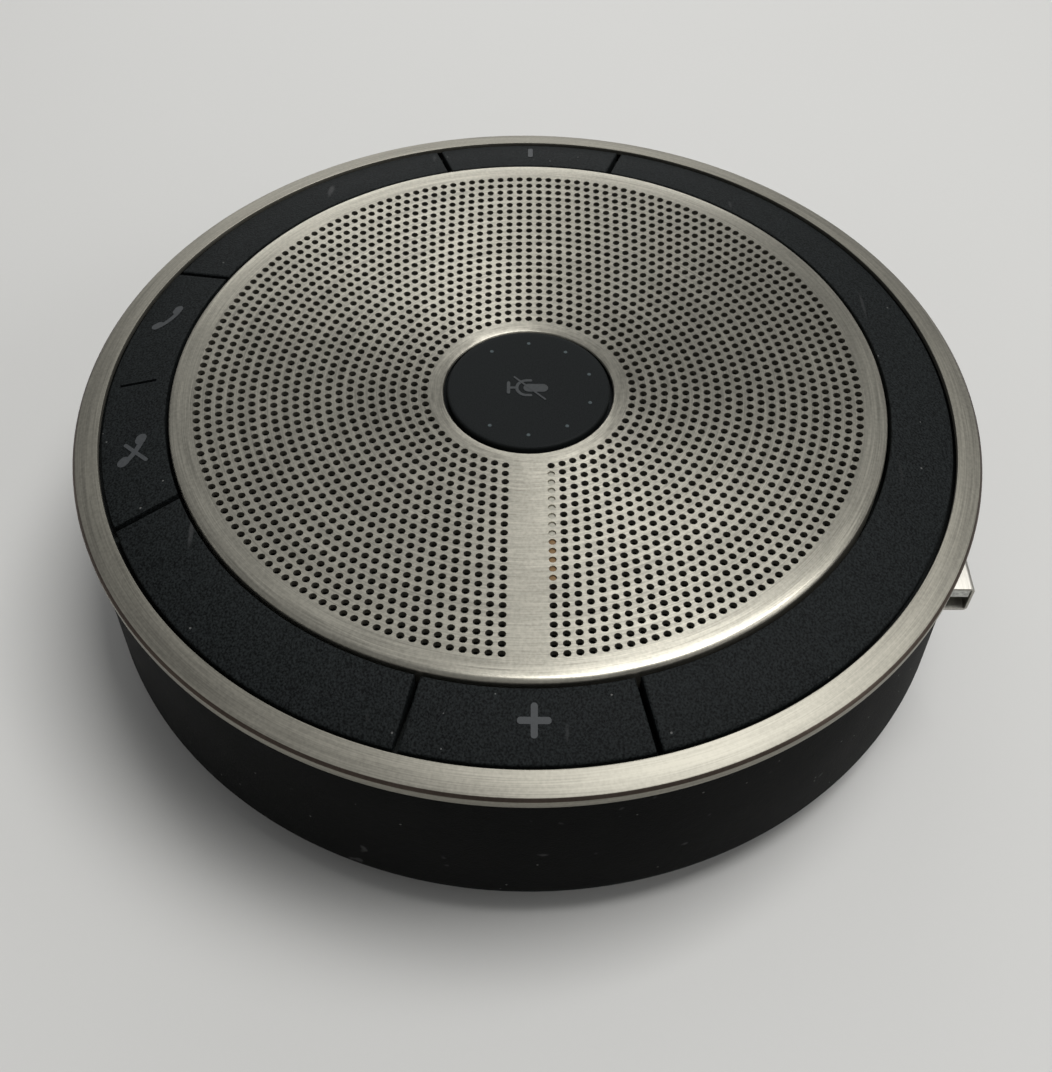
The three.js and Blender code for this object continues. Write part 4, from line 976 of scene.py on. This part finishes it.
# ---- Casing ----
class SPEAKERPHONE_OT_casing(bpy.types.Operator):
    """Makes the side wall, the bottom plate and the rubber foot"""

    bl_idname = "speakerphone.casing"
    bl_label = "Casing"

    def execute(self, context):
        self.make_wall()
        self.make_plate()
        self.make_foot()
        return {"FINISHED"}

    def make_wall(self):
        """The side wall, with the window that shows the plug."""
        low, top = node_span("side_shell", 2)
        inside = BODY_RADIUS - 2
        lip = BODY_RADIUS - 4
        shoulder = top - 1
        step = inside + 0.5
        lip_top = low + 1.2
        taper = 0.8  # how much smaller the wall's radius is at its top
        outline = [
            (lip, low),
            (BODY_RADIUS, low),
            (BODY_RADIUS - taper, top),
            (step, top),
            (step, shoulder),
            (inside, shoulder),
            (inside, lip_top),
            (lip, lip_top),
        ]
        wall = spun(outline)
        soften_rings(wall, [(BODY_RADIUS, low)], 2.5, 8)
        soften_rings(wall, [(lip, low), (lip, lip_top)], 0.3, 2)
        window = bmesh.new()
        grip_low = node_span("usb_plug_overmould", 2)[0]
        tip = node_span("usb_plug_shell", 0)[1]
        corners = block(window, (7.5, 30, grip_low - 0.5), (tip + 2.5, 70, 40))
        upright = {
            edge
            for vertex in corners
            for edge in vertex.link_edges
            if abs(edge.verts[0].co.x - edge.verts[1].co.x) < 1e-4
            and abs(edge.verts[0].co.z - edge.verts[1].co.z) < 1e-4
        }
        bevel(window, [e for e in upright if e.verts[0].co.z < 30], 0.8, 5)
        wall = less(wall, [window])
        plastic = "shell_plastic"
        finish_piece(wall, "side_wall", plastic, "chassis", ["side_shell"])

    def make_plate(self):
        """The bottom plate, with a groove round it, cut straight on the plug's side."""
        flat = node_span("bottom_cover", 1)[1]
        plate_low = node_span("bottom_cover", 2)[0]
        plate_radius = node_span("bottom_cover", 0)[1]
        plate_top = plate_low + 1.6
        groove_floor = plate_low + 0.4
        groove_inner, groove_outer = plate_radius - 16.9, plate_radius - 16.4
        plate = spun(
            [
                (0, plate_low),
                (groove_inner, plate_low),
                (groove_inner, groove_floor),
                (groove_outer, groove_floor),
                (groove_outer, plate_low),
                (plate_radius, plate_low),
                (plate_radius, plate_top),
                (0, plate_top),
            ],
            closed=False,
        )
        cut_flat(plate, (0, flat, 0), (0, 1, 0))
        bmesh.ops.recalc_face_normals(plate, faces=plate.faces)
        outer_edges = [
            edge
            for edge in plate.edges
            if all(
                v.co.z < plate_low + 1e-3
                and (flat_radius(v) > plate_radius - 0.05 or v.co.y > flat - 1e-3)
                for v in edge.verts
            )
        ]
        bevel(plate, outer_edges, 0.35, 3)
        plastic = "case_plastic"
        finish_piece(plate, "base_plate", plastic, "chassis", ["bottom_cover"])

    def make_foot(self):
        """The rubber ring that the speakerphone stands on."""
        foot_outer = node_span("foot_ring", 0)[1]
        foot_top = node_span("foot_ring", 2)[1]
        foot_inner = foot_outer - 7.5
        foot = spun(
            [
                (foot_inner, 0),
                (foot_outer, 0),
                (foot_outer, foot_top),
                (foot_inner, foot_top),
            ]
        )
        soften_rings(foot, [(foot_inner, 0), (foot_outer, 0)], 0.5, 4)
        finish_piece(foot, "foot_pad", "rubber", "chassis", ["foot_ring"])


# ---- USB lead ----
PLUG_WIDTH = 12.0
PLUG_HEIGHT = 4.5
LATCH_PLACE = 2.9  # from the plug's middle to each latch hole's
LATCH_WIDTH = 2.5
GRIP_LENGTH = 25
CABLE_DIAMETER = 3.6


def rounded_bar(low, high, corner, segments=4):
    """A bar along X with rounded long edges."""
    bm = bmesh.new()
    block(bm, low, high)
    long_edges = [
        edge
        for edge in bm.edges
        if abs(edge.verts[0].co.x - edge.verts[1].co.x) > 1e-3
    ]
    bevel(bm, long_edges, corner, segments)
    return bm


def end_face(bm, place):
    """The face square to X at a place along it."""
    return [
        face
        for face in bm.faces
        if abs(face.normal.x) > 0.99 and abs(face.calc_center_median().x - place) < 1e-3
    ]


class SPEAKERPHONE_OT_lead(bpy.types.Operator):
    """Makes the USB plug, its grip and the wound lead"""

    bl_idname = "speakerphone.lead"
    bl_label = "USB lead"

    def execute(self, context):
        back, tip = node_span("usb_plug_shell", 0)
        relief_end, grip_end = node_span("usb_plug_overmould", 0)
        centre = Vector((0, PLUG_Y, PLUG_Z))
        self.make_plug(centre, back, tip)
        self.make_grip(centre, relief_end, grip_end)
        self.wind_lead(relief_end)
        return {"FINISHED"}

    def make_plug(self, centre, back, tip):
        """The plug's metal shell, open at its mouth, with its two latch holes."""
        half = Vector((0, PLUG_WIDTH / 2, PLUG_HEIGHT / 2))
        metal = rounded_bar(
            centre - half + Vector((back, 0, 0)), centre + half + Vector((tip, 0, 0)), 0.6
        )
        mouth = end_face(metal, tip)
        bmesh.ops.inset_region(
            metal, faces=mouth, thickness=0.35, use_even_offset=True
        )
        mouth = end_face(metal, tip)
        mouth = [max(mouth, key=lambda face: face.calc_area())]
        made = bmesh.ops.extrude_face_region(metal, geom=mouth)["geom"]
        verts = [item for item in made if isinstance(item, bmesh.types.BMVert)]
        bmesh.ops.translate(metal, vec=(back - tip + 0.6, 0, 0), verts=verts)
        old = [face for face in mouth if face.is_valid]
        bmesh.ops.delete(metal, geom=old, context="FACES_ONLY")
        rim = [
            edge
            for edge in metal.edges
            if all(abs(v.co.x - tip) < 1e-3 for v in edge.verts)
            and len({round(f.normal.x, 1) for f in edge.link_faces}) == 2
        ]
        bevel(metal, rim, 0.07, 2)
        holes = []
        for side in (-1, 1):
            latch = bmesh.new()
            middle = PLUG_Y + side * LATCH_PLACE
            block(
                latch,
                (tip - 7.2, middle - LATCH_WIDTH / 2, PLUG_Z - 5),
                (tip - 5.2, middle + LATCH_WIDTH / 2, PLUG_Z + 5),
            )
            holes.append(latch)
        metal = less(metal, holes)
        steel = "bright_steel"
        finish_piece(metal, "plug_metal", steel, "chassis", ["usb_plug_shell"])

    def make_grip(self, centre, relief_end, grip_end):
        """The grip moulded on the plug, with its ribbed strain relief."""
        grip_start = grip_end - GRIP_LENGTH
        reach = Vector((0, 7.2, 3.3))
        grip = rounded_bar(
            centre - reach + Vector((grip_start, 0, 0)),
            centre + reach + Vector((grip_end, 0, 0)),
            1.6,
            6,
        )
        ends = [
            edge
            for edge in grip.edges
            if abs(edge.verts[0].co.x - edge.verts[1].co.x) < 1e-4
        ]
        bevel(grip, ends, 0.5, 3)
        length = grip_start - relief_end
        ribs = 5
        outline = [(0, 0)]
        for rib in range(ribs):
            radius = 3.0 - 0.8 * rib / (ribs - 1)
            start = length * rib / ribs
            outline += [
                (radius, start),
                (radius, start + 0.8 * length / ribs),
                (radius - 0.35, start + 0.8 * length / ribs),
                (radius - 0.35, start + length / ribs),
            ]
        outline.append((0, length))
        relief = spun(outline, 48, closed=False)
        turn = Matrix.Rotation(-math.pi / 2, 4, "Y")
        place = Matrix.Translation((grip_start, PLUG_Y, PLUG_Z)) @ turn
        relief.transform(place)
        join(grip, relief)
        nodes = ["usb_plug_overmould"]
        finish_piece(grip, "plug_grip", "rubber", "chassis", nodes)

    def wind_lead(self, relief_end):
        """The lead, from the plug's relief round the tub and in through its wall."""
        circle, top, winding_start = 54.0, 17.2, 150.0
        route = [
            (relief_end - 0.3, PLUG_Y, PLUG_Z),
            (relief_end - 4, PLUG_Y, PLUG_Z - 0.1),
        ]
        first = 118.85
        for i in range(6):
            share = i / 6
            fall = share * share * (3 - 2 * share)
            angle = first + share * (winding_start - first)
            route.append((*polar(circle, angle), PLUG_Z + fall * (top - PLUG_Z)))
        for i in range(61):
            route.append((*polar(circle, winding_start + 15 * i), top - 3.8 * i / 24))
        outside = Vector((*polar(53.4, 1060), 7.7))
        inside = Vector((*polar(44.5, 1084), 7.7))
        route += [outside.lerp(inside, i / 4) for i in range(5)]
        curve = bpy.data.curves.new("lead", "CURVE")
        curve.dimensions = "3D"
        curve.bevel_depth = CABLE_DIAMETER / 2 * MM
        curve.bevel_resolution = 6
        curve.resolution_u = 4
        curve.use_fill_caps = True
        spline = curve.splines.new("BEZIER")
        spline.bezier_points.add(len(route) - 1)
        for knot, place in zip(spline.bezier_points, route):
            knot.co = Vector(place) * MM
            knot.handle_left_type = knot.handle_right_type = "AUTO"
        holder = bpy.data.objects.new("lead", curve)
        bpy.context.scene.collection.objects.link(holder)
        bpy.context.view_layer.update()
        graph = bpy.context.evaluated_depsgraph_get()
        mesh = bpy.data.meshes.new_from_object(holder.evaluated_get(graph))
        bpy.data.objects.remove(holder)
        mesh.materials.clear()
        sheath = "cable_sheath"
        nodes = ["usb_cable"]
        place_mesh(mesh, "lead_cable", sheath, "chassis", nodes, 50.0)


class SPEAKERPHONE_OT_inside(bpy.types.Operator):
    """Gives the kept parts inside the casing their finishes"""

    bl_idname = "speakerphone.inside"
    bl_label = "Inside parts"

    def execute(self, context):
        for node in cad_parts.values():
            for place in node.material_slots:
                slot = place.material.name.split(".")[0]
                place.material = FINISHES[slot]
        return {"FINISHED"}


# ---- Stage ----
def soft_light(name, place, target, size, power):
    """A white rectangular lamp that faces a target."""
    lamp = bpy.data.lights.new(name, "AREA")
    lamp.shape = "RECTANGLE"
    lamp.size, lamp.size_y = size
    lamp.energy = power
    light = bpy.data.objects.new(name, lamp)
    light.location = place
    aim = Vector(target) - Vector(place)
    light.rotation_euler = aim.to_track_quat("-Z", "Y").to_euler()
    bpy.context.scene.collection.objects.link(light)


class SPEAKERPHONE_OT_stage(bpy.types.Operator):
    """Makes the camera, the soft lights and the pale floor"""

    bl_idname = "speakerphone.stage"
    bl_label = "Stage"

    def execute(self, context):
        scene = context.scene
        scene.view_settings.view_transform = "Standard"
        camera = bpy.data.cameras.new("camera")
        camera.lens = 43.5
        camera.sensor_width = 36.0
        viewer = bpy.data.objects.new("camera", camera)
        swing = Matrix.Rotation(math.radians(-0.44), 3, "Z")
        eye = swing @ Vector((123.4, -0.08, 154.4)) * MM
        target = swing @ Vector((24.95, -0.07, 30.9)) * MM
        look = (target - eye).to_track_quat("-Z", "Y")
        viewer.rotation_mode = "QUATERNION"
        viewer.rotation_quaternion = look @ Quaternion((0, 0, 1), 0.0141)
        viewer.location = eye
        scene.collection.objects.link(viewer)
        scene.camera = viewer

        floor = Finish("pale_floor", Specular_IOR_Level=0.3)
        cloud = floor.noise(9.0, 4.0)
        grain = floor.noise(900.0, 2.0)
        tone = tuple(scene.speakerphone.floor)
        floor.colour(floor.mix(cloud * 0.8 + grain * 0.2, scaled(tone, 0.95), tone))
        floor.roughness(cloud * 0.1 + 0.5)
        bm = bmesh.new()
        bmesh.ops.create_grid(bm, x_segments=8, y_segments=8, size=4.0)
        mesh = bpy.data.meshes.new("floor")
        bm.to_mesh(mesh)
        bm.free()
        mesh.materials.append(floor.material)
        ground = bpy.data.objects.new("floor", mesh)
        scene.collection.objects.link(ground)

        world = bpy.data.worlds.new("room")
        world.use_nodes = True
        air = world.node_tree.nodes["Background"]
        air.inputs["Color"].default_value = (0.80, 0.81, 0.82, 1.0)
        air.inputs["Strength"].default_value = 0.3
        scene.world = world
        centre = (0, 0, 0.03)
        soft_light("overhead", (-0.1, 0.3, 1.05), centre, (0.55, 0.55), 9.0)
        soft_light("back_window", (-1.15, -0.12, 0.5), centre, (0.9, 0.4), 3.0)
        soft_light("right_wall", (0.3, 1.3, 0.8), centre, (0.9, 0.6), 3.0)
        return {"FINISHED"}


# ---- Sizes and panel ----
class SpeakerphoneSettings(bpy.types.PropertyGroup):
    """Sizes and colours that a user would change"""

    hole_diameter: bpy.props.FloatProperty(
        name="Hole diameter",
        description="Diameter of the grille's holes",
        default=0.00098,
        unit="LENGTH",
        precision=5,
    )
    steel: bpy.props.FloatVectorProperty(
        name="Steel",
        description="Colour of the brushed steel",
        subtype="COLOR",
        size=4,
        default=(0.50, 0.478, 0.405, 1.0),
    )
    keys: bpy.props.FloatVectorProperty(
        name="Keys",
        description="Colour of the keys and pads",
        subtype="COLOR",
        size=4,
        default=(0.0088, 0.0102, 0.0104, 1.0),
    )
    casing: bpy.props.FloatVectorProperty(
        name="Casing",
        description="Colour of the side wall and base",
        subtype="COLOR",
        size=4,
        default=(0.0018, 0.0021, 0.0020, 1.0),
    )
    floor: bpy.props.FloatVectorProperty(
        name="Floor",
        description="Colour of the pale floor",
        subtype="COLOR",
        size=4,
        default=(0.62, 0.615, 0.595, 1.0),
    )


OPERATORS = (
    SPEAKERPHONE_OT_finishes,
    SPEAKERPHONE_OT_stage,
    SPEAKERPHONE_OT_grille,
    SPEAKERPHONE_OT_lenses,
    SPEAKERPHONE_OT_trim,
    SPEAKERPHONE_OT_keys,
    SPEAKERPHONE_OT_symbols,
    SPEAKERPHONE_OT_mute,
    SPEAKERPHONE_OT_casing,
    SPEAKERPHONE_OT_lead,
    SPEAKERPHONE_OT_inside,
)


class SPEAKERPHONE_PT_panel(bpy.types.Panel):
    """Lists the speakerphone's settings and pieces"""

    bl_label = "Speakerphone"
    bl_idname = "SPEAKERPHONE_PT_panel"
    bl_space_type = "VIEW_3D"
    bl_region_type = "UI"
    bl_category = "Speakerphone"

    def draw(self, context):
        for name in ("hole_diameter", "steel", "keys", "casing", "floor"):
            self.layout.prop(context.scene.speakerphone, name)
        for operator in OPERATORS:
            self.layout.operator(operator.bl_idname)


CLASSES = (SpeakerphoneSettings, *OPERATORS, SPEAKERPHONE_PT_panel)


def register():
    for item in CLASSES:
        bpy.utils.register_class(item)
    bpy.types.Scene.speakerphone = bpy.props.PointerProperty(type=SpeakerphoneSettings)


def unregister():
    del bpy.types.Scene.speakerphone
    for item in reversed(CLASSES):
        bpy.utils.unregister_class(item)


def main():
    register()
    for operator in OPERATORS:
        group, action = operator.bl_idname.split(".")
        getattr(getattr(bpy.ops, group), action)()
    bpy.context.view_layer.update()


if __name__ == "__main__":
    main()
